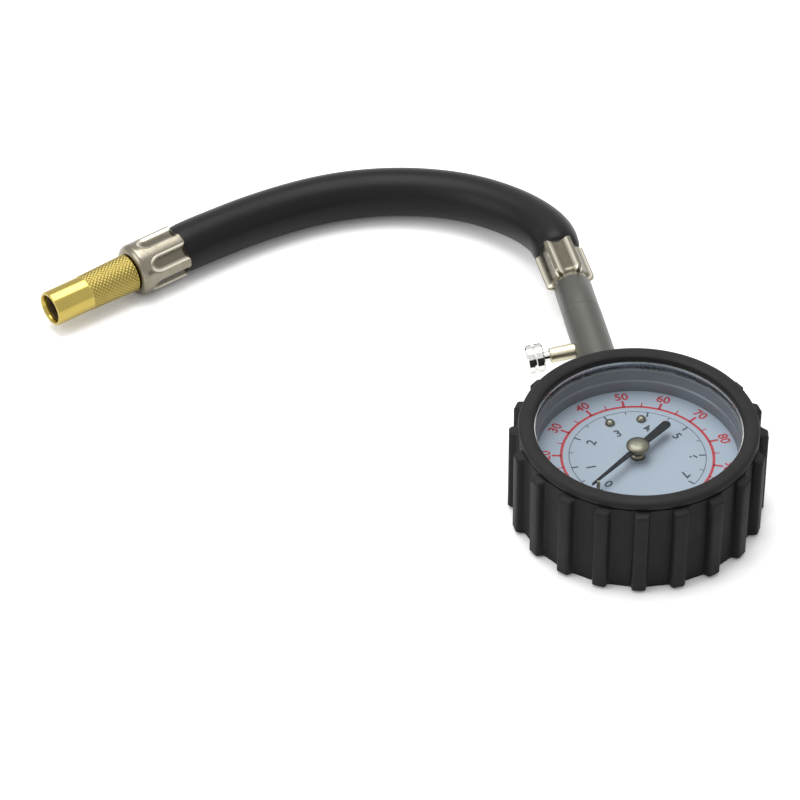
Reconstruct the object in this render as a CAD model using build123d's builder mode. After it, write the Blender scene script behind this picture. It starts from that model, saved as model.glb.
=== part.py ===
"""Tire inflator gauge: a dial gauge in a ribbed boot, a stem with a bleed valve and a hose with a chuck.

Frame: origin on the dial's axis at the boot's base, +Z up out of the dial and +Y along the stem.
Lengths are in millimetres and angles in degrees.
"""
from build123d import *
from math import cos, pi, radians, sin, tan
import os

# Boot
boot_rib_radius = 36.8
boot_valley_radius = 34.3
boot_ring_radius = 34.2
boot_height = 31.3
boot_rib_top = 28.7
boot_groove_bottom = 28.2
boot_groove_top = 29.0
boot_groove_radius = 33.5
boot_rib_count = 20
boot_rib_width = 3.4
boot_rib_root_width = 4.6
boot_rib_phase = 6.5
boot_floor = 2.0
boot_lip_radius = 29.6
boot_stem_gap = 0.1

# Case, bezel and glazing
case_radius = 30.8
case_wall = 0.8
case_corner = 1.2
case_top = 28.6
case_nipple_clearance = 4.85
case_screw_places = [(-4.5, 19.6), (4.5, 19.6)]
case_screw_radius = 1.2
case_screw_head = 1.9
case_screw_head_height = 0.9
case_screw_end = 7.6
case_screw_gap = 0.05
screw_pocket_radius = 2.3
screw_pocket_depth = 1.0
bezel_radius = 31.4
bezel_bottom = 23.0
bezel_top = 29.4
bezel_inner_radius = 29.3
lens_thickness = 2.0
lens_rise = 0.3
lens_gap = 0.02
gasket_thickness = 0.6
gasket_inner_radius = 29.3
ring_foot_radius = 28.7
ring_waist_radius = 28.9
ring_mouth_radius = 29.4
ring_waist_z = 22.2
ring_mouth_z = 22.6

# Dial
dial_z = 18.8
dial_thickness = 0.5
dial_radius = 29.9
dial_turn = 2.5
dial_screw_x = 4.6
dial_screw_y = 15.3
dial_screw_radius = 0.8
dial_screw_end = 15.6
dial_screw_dome = [(1.45, 0), (1.4, 0.5), (1.0, 1.0), (0.5, 1.2), (0, 1.25)]
zero_angle = 225.0 - dial_turn
pointer_rest_angle = zero_angle - 3.5
stop_pin_distance = 19.2
stop_pin_offset = 2.8
stop_pin_radius = 0.5

# Pointer
pointer_z = 22.0
pointer_thickness = 0.5
needle_length = 21.0
needle_root_width = 1.7
needle_tip_width = 0.56
needle_taper = 0.6
tail_length = 14.3
tail_width = 2.7
tail_root_width = 1.8
pointer_disc_radius = 2.6
hub_radius = 3.35
hub_neck_radius = 1.7
hub_neck_drop = 1.2
hub_rim = 0.5
hub_cap = 0.8
hub_top = 24.2
arbor_radius = 0.6
bush_radius = 1.9
bush_top = 20.0
bush_chamfer = 0.4

# Movement
gear_module = 0.22
pinion_teeth = 12
sector_teeth = 96
pinion_pitch_radius = gear_module * pinion_teeth / 2
sector_pitch_radius = gear_module * sector_teeth / 2
pinion_root_radius = pinion_pitch_radius - 0.26
centre_distance = pinion_pitch_radius + sector_pitch_radius
sector_step = 360.0 / sector_teeth
pointer_travel = 270.0
sector_travel = pointer_travel * pinion_teeth / sector_teeth
tooth_thickness = 0.29
pinion_tooth_root = 0.5
pinion_tooth_root_width = 0.34
pinion_tooth_tip = 0.2
pinion_tooth_tip_width = 0.14
pinion_overhang = 0.8
sector_tooth_count = 13
sector_tooth_root = 0.28
sector_tooth_root_width = 0.494
sector_tooth_tip = 0.2
sector_tooth_tip_width = 0.144
sector_rim_width = 1.7
sector_rim_margin = 2.4
sector_spoke_width = 1.5
sector_spoke_inset = 5.0
sector_hub_radius = 2.2
tail_arm = 5.1
tail_width_across = 2.4
bottom_plate_z = 6.0
bottom_plate_thickness = 1.2
top_plate_z = 13.0
top_plate_thickness = 1.2
sector_z = 9.6
sector_thickness = 1.0
link_z = 11.0
link_thickness = 0.8
link_tip_radius = 1.4
link_tail_radius = 1.6
pin_radius = 0.6
pin_head_gap = 0.15
pin_head_height = 0.35
tip_pin_head = 1.0
tail_pin_head = 1.25
journal_radius = 0.44
journal_hole_radius = 0.5
journal_step = 0.1
arbor_shoulder_radius = 0.9
running_clearance = 0.06
open_pivot_clearance = 0.35
pinion_boss_radius = 4.8
sector_boss_radius = 3.0
pillar_boss_radius = 2.3
post_boss_radius = 2.1
pillar_places = [(-6.2, -1.5), (11.9, -6.6)]
pillar_radius = 1.4
post_radius = 1.0
post_head_radius = 1.9
post_bottom = 9.0
post_bore_bottom = 15.4
tongue_screw_places = [(-4.6, 11.6), (4.6, 11.6)]
tongue_screw_end = 11.0
movement_screw_radius = 0.9
movement_screw_head = 1.6
movement_screw_crown = 1.5
movement_screw_height = 0.9
pillar_screw_depth = 2.6
pillar_hole_depth = 3.0

# Socket block
block_width = 14.0
block_length = 9.8
block_y = 23.1
block_bottom = 7.0
block_height = 10.0
block_corner = 1.0
tongue_length = 9.2
tongue_y = 13.8
block_foot_radius = 2.0
block_channel_start = 21.5
tube_port_radius = 0.8
tube_port_y = 22.6
tube_port_x = -8.0
blind_hole_bottom = 5.0
blind_hole_depth = 8.0

# Hairspring
hairspring_z = 11.7
hairspring_height = 0.8
hairspring_start = 1.6
hairspring_step = 0.3
hairspring_half_turns = 8
hairspring_width = 0.12
collet_radius = hairspring_start - hairspring_width / 2
collet_height = 1.0
stud_radius = 0.45
stud_overlap = 0.2
stud_x = hairspring_start + 6 * hairspring_step + hairspring_width / 2 + stud_radius

# Bourdon tube
tube_radius = 22.0
tube_width = 8.0
tube_thickness = 2.4
tube_wall = 0.4
tube_start = 105.8
tube_end = 370.0
tube_slot_arc = 8.0
tip_block_arc = 11.0
tip_block_width = 3.0
tip_block_height = 7.0
tip_ear_root = 1.5
tip_ear_radius = 1.3
tip_pin_place = (17.2, 8.0)

# Stem
stem_z = 12.0
stem_radius = 5.85
stem_edge = 0.3
stem_start = 30.85
stem_joint = 72.8
stem_end = 86.2
stem_top_radius = 5.75
channel_radius = 2.0
fitting_channel_radius = 1.6
spigot_start = 27.0
spigot_radius = 4.8
spigot_end = 38.2
socket_bore_end = 39.0
joint_spigot_radius = 4.6
joint_spigot_start = 66.0
joint_bore_start = 65.2

# Bleed valve, distances from the stem's axis
valve_y = 58.0
valve_droop = 6.0
valve_travel = 1.8
sleeve_radius = 2.3
sleeve_step = 0.2
sleeve_inner_end = 3.0
sleeve_outer_end = 13.4
sleeve_bore_radius = 1.5
sleeve_seat_radius = 0.95
button_radius = 4.4
button_edge = 0.4
button_crown = 0.5
button_start = sleeve_outer_end + valve_travel
button_end = 20.5
button_groove = (17.6, 18.3)
button_groove_depth = 0.7
plunger_radius = 1.44
plunger_stem_radius = 0.7
plunger_start = 1.9
valve_seal_radius = 1.5
valve_seal_gap = 0.05
spring_seat = 4.2
spring_head = 9.6
spring_wire = 0.16
spring_coil_radius = 1.15
spring_turns = 5

# Hose: the route's first and last runs are the axes of its two fittings
hose_radius = 7.7
near_hose_end_radius = 5.0
far_hose_end_radius = 6.2
hose_bore_radius = 4.0
hose_route = [
    (-0.4, 95.0, 12.0),
    (-1.3, 114.5, 12.0),
    (-9.0, 128.6, 10.6),
    (-23.2, 141.9, 9.2),
    (-43.4, 149.8, 8.3),
    (-65.2, 150.8, 8.0),
    (-87.8, 144.9, 8.1),
    (-108.8, 135.5, 8.4),
    (-123.5, 127.9, 8.4),
]
hose_insertion = 8.5
hose_collar_length = 8.8
hose_trim = 1.0
tail_setback = 0.6
barb_count = 3
barb_height = 0.45
barb_rise = 0.85
run_share = 0.45

# Ferrules
ferrule_length = 17.3
ferrule_wall = 1.0
ferrule_lip = 0.2
near_ferrule_radius = 7.5
near_ferrule_start = 2.1
near_neck_radius = 4.2
near_flute_cutter = 5.7
near_flute_depth = 1.8
near_flute_end = -1.0
near_shoulder = 1.7
near_flute_turn = 7.0
far_ferrule_radius = 8.3
far_flute_cutter = 7.3
far_flute_depth = 1.15
far_flute_end = 7.3
far_shoulder = 2.2
far_flute_turn = 64.0
flute_count = 6

# Chuck, distances from the far ferrule's mouth
chuck_back = 17.6
knurl_end = 34.1
chuck_mouth = 46.8
knurl_back_radius = 6.1
knurl_front_radius = 5.7
chuck_smooth_radius = 5.5
chuck_thread_radius = 3.9
chuck_thread_start = 36.4
chuck_relief_radius = 4.1
chuck_mouth_radius = 4.6
chuck_mouth_depth = 1.6
chuck_shoulder = 31.0
nipple_neck_radius = 2.6
nipple_channel_radius = 1.2
nipple_head_radius = 3.75
nipple_head_end = 32.8
nipple_head_gap = 0.2
seal_end = 34.8
seal_bore_radius = 1.4
seal_gap = 0.05
chuck_edge = 0.4
chuck_back_edge = 0.3
chuck_mouth_taper = 0.2
depressor_radius = 0.6
depressor_plug = (3.0, 1.0)
depressor_reach = 1.4


def side_of(plane):
    """Plane through the axis of a turned piece: its x runs along the axis and its y is the radius."""
    return Plane(origin=plane.origin, x_dir=plane.z_dir, z_dir=plane.y_dir)


def turned(plane, outline, mode=Mode.ADD):
    """Revolve an outline of (distance along the axis, radius) points about the plane's own axis."""
    with BuildSketch(side_of(plane)) as profile:
        with BuildLine():
            Polyline(*outline, close=True)
        make_face()
    revolve(profile.sketch, axis=Axis(plane.origin, plane.z_dir), mode=mode)


def disc(plane, radius, start, end, mode=Mode.ADD):
    """A cylinder on the plane's axis between two distances from its origin."""
    with BuildSketch(plane.offset(start)) as circle:
        Circle(radius)
    extrude(circle.sketch, amount=end - start, mode=mode)


def turned_about(plane, angle):
    """The same axis, with x turned by an angle about it."""
    x_dir = plane.x_dir * cos(radians(angle)) + plane.y_dir * sin(radians(angle))
    return Plane(origin=plane.origin, x_dir=x_dir, z_dir=plane.z_dir)


def upright(place):
    """Plane at the foot of an upright shaft, pin or screw."""
    return Plane(origin=(place[0], place[1], 0), x_dir=(1, 0, 0), z_dir=(0, 0, 1))


def across_tube(angle):
    """Plane across the pressure tube's arc at an angle, with x pointing outwards."""
    return Plane(
        origin=(0, 0, stem_z),
        x_dir=(cos(radians(angle)), sin(radians(angle)), 0),
        z_dir=(sin(radians(angle)), -cos(radians(angle)), 0),
    )


def direction_between(start, end):
    """Unit vector between two points of the hose's route."""
    return (Vector(*end) - Vector(*start)).normalized()


dial_axis = Plane.XY
sector_axis = upright((centre_distance, 0))
tip_axis = upright(tip_pin_place)
stem_axis = Plane(origin=(0, 0, stem_z), x_dir=(1, 0, 0), z_dir=(0, 1, 0))
valve_axis = Plane(
    origin=(0, valve_y, stem_z),
    x_dir=(0, 1, 0),
    z_dir=(-cos(radians(valve_droop)), 0, -sin(radians(valve_droop))),
)
near_direction = direction_between(hose_route[0], hose_route[1])
near_fitting_axis = Plane(
    origin=Vector(*hose_route[0]) - near_direction * hose_collar_length,
    x_dir=(0, 0, 1),
    z_dir=near_direction,
)
near_mouth = hose_collar_length + hose_insertion
far_direction = direction_between(hose_route[-2], hose_route[-1])
far_mouth_axis = Plane(
    origin=Vector(*hose_route[-1]) - far_direction * hose_insertion,
    x_dir=(0, 0, 1),
    z_dir=far_direction,
)

all_parts = []


def keep(builder, name):
    """Label a finished piece and remember it for export."""
    builder.part.label = name
    all_parts.append((name, builder.part))


# Rubber boot: a cup with twenty grip ribs, a rolled lip over the bezel and pockets for the case screws' heads
with BuildPart() as rubber_boot:
    with BuildSketch():
        Circle(boot_valley_radius)
        rib_depth = boot_rib_radius - boot_valley_radius + 1.0
        with PolarLocations(boot_rib_radius - rib_depth, boot_rib_count, start_angle=boot_rib_phase):
            Polygon(
                (0, -boot_rib_root_width / 2),
                (rib_depth, -boot_rib_width / 2),
                (rib_depth, boot_rib_width / 2),
                (0, boot_rib_root_width / 2),
                align=None,
            )
    extrude(amount=boot_rib_top)
    with BuildSketch(Plane.XZ):
        with BuildLine():
            Polyline(
                (0, 0),
                (boot_rib_radius - 0.9, 0),
                (boot_rib_radius, 0.9),
                (boot_rib_radius, boot_rib_top - 2.2),
                (boot_rib_radius - 0.8, boot_rib_top - 0.9),
                (boot_valley_radius, boot_rib_top),
                (0, boot_rib_top),
                close=True,
            )
        make_face()
    revolve(axis=Axis.Z, mode=Mode.INTERSECT)
    with BuildSketch(Plane.XZ):
        with BuildLine():
            Polyline(
                (bezel_radius - 0.5, boot_groove_bottom - 1.0),
                (boot_valley_radius, boot_groove_bottom - 1.0),
                (boot_valley_radius, boot_groove_bottom),
                (boot_groove_radius, boot_groove_bottom + 0.2),
                (boot_groove_radius, boot_groove_top),
                (boot_ring_radius, boot_groove_top + 0.3),
                (boot_ring_radius, boot_height - 1.2),
                (boot_ring_radius - 0.4, boot_height - 0.4),
                (boot_ring_radius - 1.2, boot_height),
                (boot_lip_radius + 1.1, boot_height),
                (boot_lip_radius + 0.3, boot_height - 0.3),
                (boot_lip_radius, boot_height - 1.0),
                (boot_lip_radius, bezel_top),
                (bezel_radius - 0.5, bezel_top),
                close=True,
            )
        make_face()
    revolve(axis=Axis.Z)
    with BuildSketch(Plane.XZ):
        with BuildLine():
            Polyline(
                (0, boot_floor),
                (case_radius - case_corner, boot_floor),
                (case_radius, boot_floor + case_corner),
                (case_radius, bezel_bottom),
                (bezel_radius, bezel_bottom),
                (bezel_radius, bezel_top - 0.4),
                (bezel_radius - 0.4, bezel_top),
                (boot_lip_radius, bezel_top),
                (0, bezel_top),
                close=True,
            )
        make_face()
    revolve(axis=Axis.Z, mode=Mode.SUBTRACT)
    with BuildSketch(Plane.XY.offset(boot_floor - screw_pocket_depth)):
        with Locations(*case_screw_places):
            Circle(screw_pocket_radius)
    extrude(amount=screw_pocket_depth, mode=Mode.SUBTRACT)
    disc(stem_axis, stem_radius + boot_stem_gap, case_radius - case_corner, 45, Mode.SUBTRACT)
keep(rubber_boot, "rubber_boot")

# Drawn steel case: a cup with a hole in its wall for the socket's nipple and two in its back for screws
with BuildPart() as gauge_case:
    turned(
        dial_axis,
        [
            (boot_floor, 0),
            (boot_floor, case_radius - case_corner),
            (boot_floor + case_corner, case_radius),
            (case_top, case_radius),
            (case_top, case_radius - case_wall),
            (boot_floor + 1.5, case_radius - case_wall),
            (boot_floor + case_wall, case_radius - case_wall - 0.7),
            (boot_floor + case_wall, 0),
        ],
    )
    disc(stem_axis, case_nipple_clearance, 20, 40, Mode.SUBTRACT)
    with BuildSketch(Plane.XY.offset(boot_floor)):
        with Locations(*case_screw_places):
            Circle(case_screw_radius + case_screw_gap)
    extrude(amount=case_wall, mode=Mode.SUBTRACT)
keep(gauge_case, "gauge_case")

# Bezel: a thin pressed ring crimped on the case's rim, whose inner edge holds the lens down
with BuildPart() as bezel_ring:
    turned(
        dial_axis,
        [
            (bezel_bottom, case_radius),
            (bezel_bottom, bezel_radius),
            (bezel_top - 0.4, bezel_radius),
            (bezel_top, bezel_radius - 0.4),
            (bezel_top, bezel_inner_radius),
            (case_top, bezel_inner_radius),
            (case_top, case_radius),
        ],
    )
keep(bezel_ring, "bezel_ring")

# Clear lens with a raised middle that fills the bezel's opening
lens_bottom = case_top - lens_thickness
with BuildPart() as lens:
    turned(
        dial_axis,
        [
            (lens_bottom, 0),
            (lens_bottom, case_radius - case_wall - lens_gap),
            (case_top, case_radius - case_wall - lens_gap),
            (case_top, bezel_inner_radius - 0.1),
            (case_top + lens_rise, bezel_inner_radius - 0.5),
            (case_top + lens_rise, 0),
        ],
    )
keep(lens, "lens")

gasket_bottom = lens_bottom - gasket_thickness
with BuildPart() as lens_gasket:
    turned(
        dial_axis,
        [
            (gasket_bottom, gasket_inner_radius),
            (gasket_bottom, case_radius - case_wall),
            (lens_bottom, case_radius - case_wall),
            (lens_bottom, gasket_inner_radius),
        ],
    )
keep(lens_gasket, "lens_gasket")

# Stepped spacer ring between the dial and the lens
with BuildPart() as dial_ring:
    turned(
        dial_axis,
        [
            (dial_z, ring_foot_radius),
            (dial_z, case_radius - case_wall),
            (gasket_bottom, case_radius - case_wall),
            (gasket_bottom, ring_mouth_radius),
            (ring_mouth_z, ring_mouth_radius),
            (ring_waist_z, ring_waist_radius),
        ],
    )
keep(dial_ring, "dial_ring")

dial_screw_places = [(-dial_screw_x, dial_screw_y), (dial_screw_x, dial_screw_y)]
stop_pin_angle = radians(pointer_rest_angle + stop_pin_offset)
stop_pin_place = (stop_pin_distance * cos(stop_pin_angle), stop_pin_distance * sin(stop_pin_angle))
with BuildPart() as dial_plate:
    with BuildSketch(Plane.XY.offset(dial_z - dial_thickness)):
        Circle(dial_radius)
        Circle(bush_radius + 0.1, mode=Mode.SUBTRACT)
        with Locations(*dial_screw_places):
            Circle(dial_screw_radius, mode=Mode.SUBTRACT)
        with Locations(stop_pin_place):
            Circle(stop_pin_radius, mode=Mode.SUBTRACT)
    extrude(amount=dial_thickness)
keep(dial_plate, "dial_plate")

with BuildPart() as dial_screws:
    for place in dial_screw_places:
        turned(
            upright(place),
            [
                (dial_screw_end, 0),
                (dial_screw_end, dial_screw_radius),
                (dial_z, dial_screw_radius),
                *[(dial_z + rise, radius) for radius, rise in dial_screw_dome],
            ],
        )
keep(dial_screws, "dial_screws")

with BuildPart() as stop_pin:
    disc(upright(stop_pin_place), stop_pin_radius, dial_z - 1.0, pointer_z + pointer_thickness + 0.4)
keep(stop_pin, "stop_pin")

# Socket: block with a tongue for the movement, a slot for the tube and a nipple out through the case
tongue_z = bottom_plate_z + bottom_plate_thickness
with BuildPart() as socket_block:
    with BuildSketch(Plane.XY.offset(block_bottom)):
        with Locations((0, block_y)):
            RectangleRounded(block_width, block_length, block_corner)
    extrude(amount=block_height)
    with BuildSketch(Plane.XY.offset(tongue_z)):
        with Locations((0, tongue_y)):
            Rectangle(block_width, tongue_length)
    extrude(amount=top_plate_z - tongue_z)
    with BuildSketch(Plane.XY.offset(boot_floor + case_wall)):
        with Locations(*case_screw_places):
            Circle(block_foot_radius)
    extrude(amount=block_bottom - boot_floor - case_wall)
    disc(stem_axis, spigot_radius, spigot_start, spigot_end)
    disc(stem_axis, fitting_channel_radius, block_channel_start, spigot_end, Mode.SUBTRACT)
    with BuildSketch(Plane(origin=(tube_port_x, tube_port_y, stem_z), x_dir=(0, 1, 0), z_dir=(1, 0, 0))):
        Circle(tube_port_radius)
    extrude(amount=-tube_port_x, mode=Mode.SUBTRACT)
    with BuildSketch(Plane.XY.offset(blind_hole_bottom)):
        with Locations(*dial_screw_places):
            Circle(post_radius)
        with Locations(*tongue_screw_places):
            Circle(movement_screw_radius)
    extrude(amount=blind_hole_depth, mode=Mode.SUBTRACT)
    with BuildSketch(Plane.XY.offset(boot_floor)):
        with Locations(*case_screw_places):
            Circle(case_screw_radius)
    extrude(amount=case_screw_end + 0.4 - boot_floor, mode=Mode.SUBTRACT)
    with BuildSketch(across_tube(tube_start)):
        with Locations((tube_radius, 0)):
            SlotOverall(tube_width, tube_thickness, rotation=90)
    revolve(axis=Axis.Z, revolution_arc=tube_slot_arc, mode=Mode.SUBTRACT)
keep(socket_block, "socket_block")

with BuildPart() as case_screws:
    for place in case_screw_places:
        turned(
            upright(place),
            [
                (boot_floor - case_screw_head_height, 0),
                (boot_floor - case_screw_head_height, case_screw_head - 0.2),
                (boot_floor - case_screw_head_height + 0.2, case_screw_head),
                (boot_floor, case_screw_head),
                (boot_floor, case_screw_radius),
                (case_screw_end, case_screw_radius),
                (case_screw_end, 0),
            ],
        )
keep(case_screws, "case_screws")

# Bourdon tube: a flattened spring tube bent into a C round the movement
with BuildPart() as bourdon_tube:
    with BuildSketch(across_tube(tube_start)):
        with Locations((tube_radius, 0)):
            SlotOverall(tube_width, tube_thickness, rotation=90)
            SlotOverall(
                tube_width - 2 * tube_wall, tube_thickness - 2 * tube_wall, rotation=90, mode=Mode.SUBTRACT
            )
    revolve(axis=Axis.Z, revolution_arc=tube_end - tube_start)
keep(bourdon_tube, "bourdon_tube")

# Tube tip: a block that closes the tube's free end, with an ear for the link
with BuildPart() as tube_tip:
    with BuildSketch(across_tube(tube_end)):
        with Locations((tube_radius, 0)):
            Rectangle(tip_block_width, tip_block_height)
    revolve(axis=Axis.Z, revolution_arc=tip_block_arc)
    ear_angle = radians(tube_end + tip_block_arc / 2)
    with BuildLine() as ear_ends:
        CenterArc(tip_pin_place, tip_ear_radius, 0, 360)
        CenterArc((tube_radius * cos(ear_angle), tube_radius * sin(ear_angle)), tip_ear_root, 0, 360)
    with BuildSketch(Plane.XY.offset(sector_z)) as ear:
        make_hull(ear_ends.line.edges())
    extrude(ear.sketch, amount=sector_thickness)
    disc(tip_axis, pin_radius, sector_z - 1, sector_z + sector_thickness + 1, Mode.SUBTRACT)
keep(tube_tip, "tube_tip")

pin_head_z = link_z + link_thickness + pin_head_gap
with BuildPart() as tip_pin:
    turned(
        tip_axis,
        [
            (sector_z, 0),
            (sector_z, pin_radius),
            (pin_head_z, pin_radius),
            (pin_head_z, tip_pin_head),
            (pin_head_z + pin_head_height, tip_pin_head),
            (pin_head_z + pin_head_height, 0),
        ],
    )
keep(tip_pin, "tip_pin")

# Movement plates: one outline, with holes for the shafts, pillars, posts and screws
def plate_outline(centre_hole):
    """Sketch a movement plate as the hull of the bosses round its holes."""
    with BuildLine() as bosses:
        CenterArc((0, 0), pinion_boss_radius, 0, 360)
        CenterArc((centre_distance, 0), sector_boss_radius, 0, 360)
        for place in pillar_places:
            CenterArc(place, pillar_boss_radius, 0, 360)
        for place in dial_screw_places:
            CenterArc(place, post_boss_radius, 0, 360)
    with BuildSketch() as outline:
        make_hull(bosses.line.edges())
        Circle(centre_hole, mode=Mode.SUBTRACT)
    return outline.sketch


with BuildPart() as movement_bottom_plate:
    with BuildSketch(Plane.XY.offset(bottom_plate_z)):
        add(plate_outline(journal_hole_radius))
        with Locations((centre_distance, 0)):
            Circle(journal_hole_radius, mode=Mode.SUBTRACT)
        with Locations(*tongue_screw_places):
            Circle(movement_screw_radius, mode=Mode.SUBTRACT)
        with Locations(*dial_screw_places):
            Circle(post_radius, mode=Mode.SUBTRACT)
    extrude(amount=bottom_plate_thickness)
keep(movement_bottom_plate, "movement_bottom_plate")

with BuildPart() as movement_top_plate:
    with BuildSketch(Plane.XY.offset(top_plate_z)):
        add(plate_outline(bush_radius))
        with Locations((centre_distance, 0)):
            Circle(arbor_radius + running_clearance, mode=Mode.SUBTRACT)
        with Locations(*pillar_places):
            Circle(movement_screw_radius, mode=Mode.SUBTRACT)
        with Locations(*dial_screw_places):
            Circle(post_radius, mode=Mode.SUBTRACT)
    extrude(amount=top_plate_thickness)
    disc(upright((stud_x, 0)), stud_radius, hairspring_z - stud_overlap, top_plate_z)
keep(movement_top_plate, "movement_top_plate")

with BuildPart() as movement_pillars:
    for place in pillar_places:
        disc(upright(place), pillar_radius, tongue_z, top_plate_z)
        disc(
            upright(place), movement_screw_radius, top_plate_z - pillar_hole_depth, top_plate_z, Mode.SUBTRACT
        )
keep(movement_pillars, "movement_pillars")

with BuildPart() as movement_screws:
    plate_top = top_plate_z + top_plate_thickness
    for place in pillar_places:
        turned(
            upright(place),
            [
                (top_plate_z - pillar_screw_depth, 0),
                (top_plate_z - pillar_screw_depth, movement_screw_radius),
                (plate_top, movement_screw_radius),
                (plate_top, movement_screw_head),
                (plate_top + movement_screw_height, movement_screw_crown),
                (plate_top + movement_screw_height, 0),
            ],
        )
    for place in tongue_screw_places:
        turned(
            upright(place),
            [
                (bottom_plate_z - movement_screw_height, 0),
                (bottom_plate_z - movement_screw_height, movement_screw_crown),
                (bottom_plate_z, movement_screw_head),
                (bottom_plate_z, movement_screw_radius),
                (tongue_screw_end, movement_screw_radius),
                (tongue_screw_end, 0),
            ],
        )
keep(movement_screws, "movement_screws")

with BuildPart() as dial_posts:
    for place in dial_screw_places:
        turned(
            upright(place),
            [
                (post_bottom, 0),
                (post_bottom, post_radius),
                (plate_top, post_radius),
                (plate_top, post_head_radius),
                (dial_z - dial_thickness, post_head_radius),
                (dial_z - dial_thickness, dial_screw_radius),
                (post_bore_bottom, dial_screw_radius),
                (post_bore_bottom, 0),
            ],
        )
keep(dial_posts, "dial_posts")

with BuildPart() as arbor_bush:
    turned(
        dial_axis,
        [
            (top_plate_z, arbor_radius + running_clearance),
            (top_plate_z, bush_radius),
            (bush_top - bush_chamfer, bush_radius),
            (bush_top, bush_radius - bush_chamfer),
            (bush_top, arbor_radius + running_clearance),
        ],
    )
keep(arbor_bush, "arbor_bush")

# Hairspring: a flat spiral of half turns whose radius grows by the same step
with BuildPart() as hairspring:
    with BuildLine() as spiral:
        for half_turn in range(hairspring_half_turns):
            arc_centre = (0, 0) if half_turn % 2 == 0 else (-hairspring_step, 0)
            arc_start = 0 if half_turn % 2 == 0 else 180
            CenterArc(arc_centre, hairspring_start + half_turn * hairspring_step, arc_start, 180)
    with BuildSketch(Plane(origin=(hairspring_start, 0, hairspring_z), x_dir=(1, 0, 0), z_dir=(0, 1, 0))):
        with Locations((0, -hairspring_height / 2)):
            Rectangle(hairspring_width, hairspring_height)
    sweep(path=spiral.line.moved(Location((0, 0, hairspring_z))))
keep(hairspring, "hairspring")

# Pointer train: arbor with the pinion, hub and pointer
with BuildPart() as pinion_arbor:
    turned(
        dial_axis,
        [
            (bottom_plate_z, 0),
            (bottom_plate_z, journal_radius),
            (tongue_z + journal_step, journal_radius),
            (tongue_z + journal_step, arbor_shoulder_radius),
            (sector_z - pinion_overhang, arbor_shoulder_radius),
            (sector_z - pinion_overhang, arbor_radius),
            (hub_top - hub_cap, arbor_radius),
            (hub_top - hub_cap, 0),
        ],
    )
    with BuildSketch(Plane.XY.offset(sector_z - pinion_overhang)):
        Circle(pinion_root_radius)
        with PolarLocations(pinion_pitch_radius, pinion_teeth):
            Polygon(
                (-pinion_tooth_root, -pinion_tooth_root_width / 2),
                (0, -tooth_thickness / 2),
                (pinion_tooth_tip, -pinion_tooth_tip_width / 2),
                (pinion_tooth_tip, pinion_tooth_tip_width / 2),
                (0, tooth_thickness / 2),
                (-pinion_tooth_root, pinion_tooth_root_width / 2),
                align=None,
            )
    extrude(amount=sector_thickness + 2 * pinion_overhang)
keep(pinion_arbor, "pinion_arbor")

with BuildPart() as spring_collet:
    turned(
        dial_axis,
        [
            (hairspring_z - 0.1, arbor_radius),
            (hairspring_z - 0.1, collet_radius),
            (hairspring_z - 0.1 + collet_height, collet_radius),
            (hairspring_z - 0.1 + collet_height, arbor_radius),
        ],
    )
keep(spring_collet, "spring_collet")

pointer_plane = Plane(
    origin=(0, 0, pointer_z),
    x_dir=(cos(radians(pointer_rest_angle)), sin(radians(pointer_rest_angle)), 0),
    z_dir=(0, 0, 1),
)
with BuildPart() as pointer:
    with BuildSketch(pointer_plane):
        with BuildLine():
            Polyline(
                (0, -needle_root_width / 2),
                (needle_length - needle_taper, -needle_tip_width / 2),
                (needle_length, 0),
                (needle_length - needle_taper, needle_tip_width / 2),
                (0, needle_root_width / 2),
                close=True,
            )
        make_face()
        with BuildLine():
            Polyline(
                (0, -tail_root_width / 2),
                (0, tail_root_width / 2),
                (tail_width / 2 - tail_length, tail_width / 2),
                (tail_width / 2 - tail_length, -tail_width / 2),
                close=True,
            )
        make_face()
        with Locations((tail_width / 2 - tail_length, 0)):
            Circle(tail_width / 2)
        Circle(pointer_disc_radius)
        Circle(hub_neck_radius, mode=Mode.SUBTRACT)
    extrude(amount=pointer_thickness)
keep(pointer, "pointer")

with BuildPart() as pointer_hub:
    hub_seat = pointer_z + pointer_thickness
    turned(
        dial_axis,
        [
            (pointer_z - hub_neck_drop, arbor_radius),
            (pointer_z - hub_neck_drop, hub_neck_radius),
            (hub_seat, hub_neck_radius),
            (hub_seat, hub_radius),
            (hub_seat + hub_rim, hub_radius),
            (hub_top - 0.6, hub_radius - 0.55),
            (hub_top - 0.15, 1.5),
            (hub_top, 0.9),
            (hub_top, 0),
            (hub_top - hub_cap, 0),
            (hub_top - hub_cap, arbor_radius),
        ],
    )
keep(pointer_hub, "pointer_hub")

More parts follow.
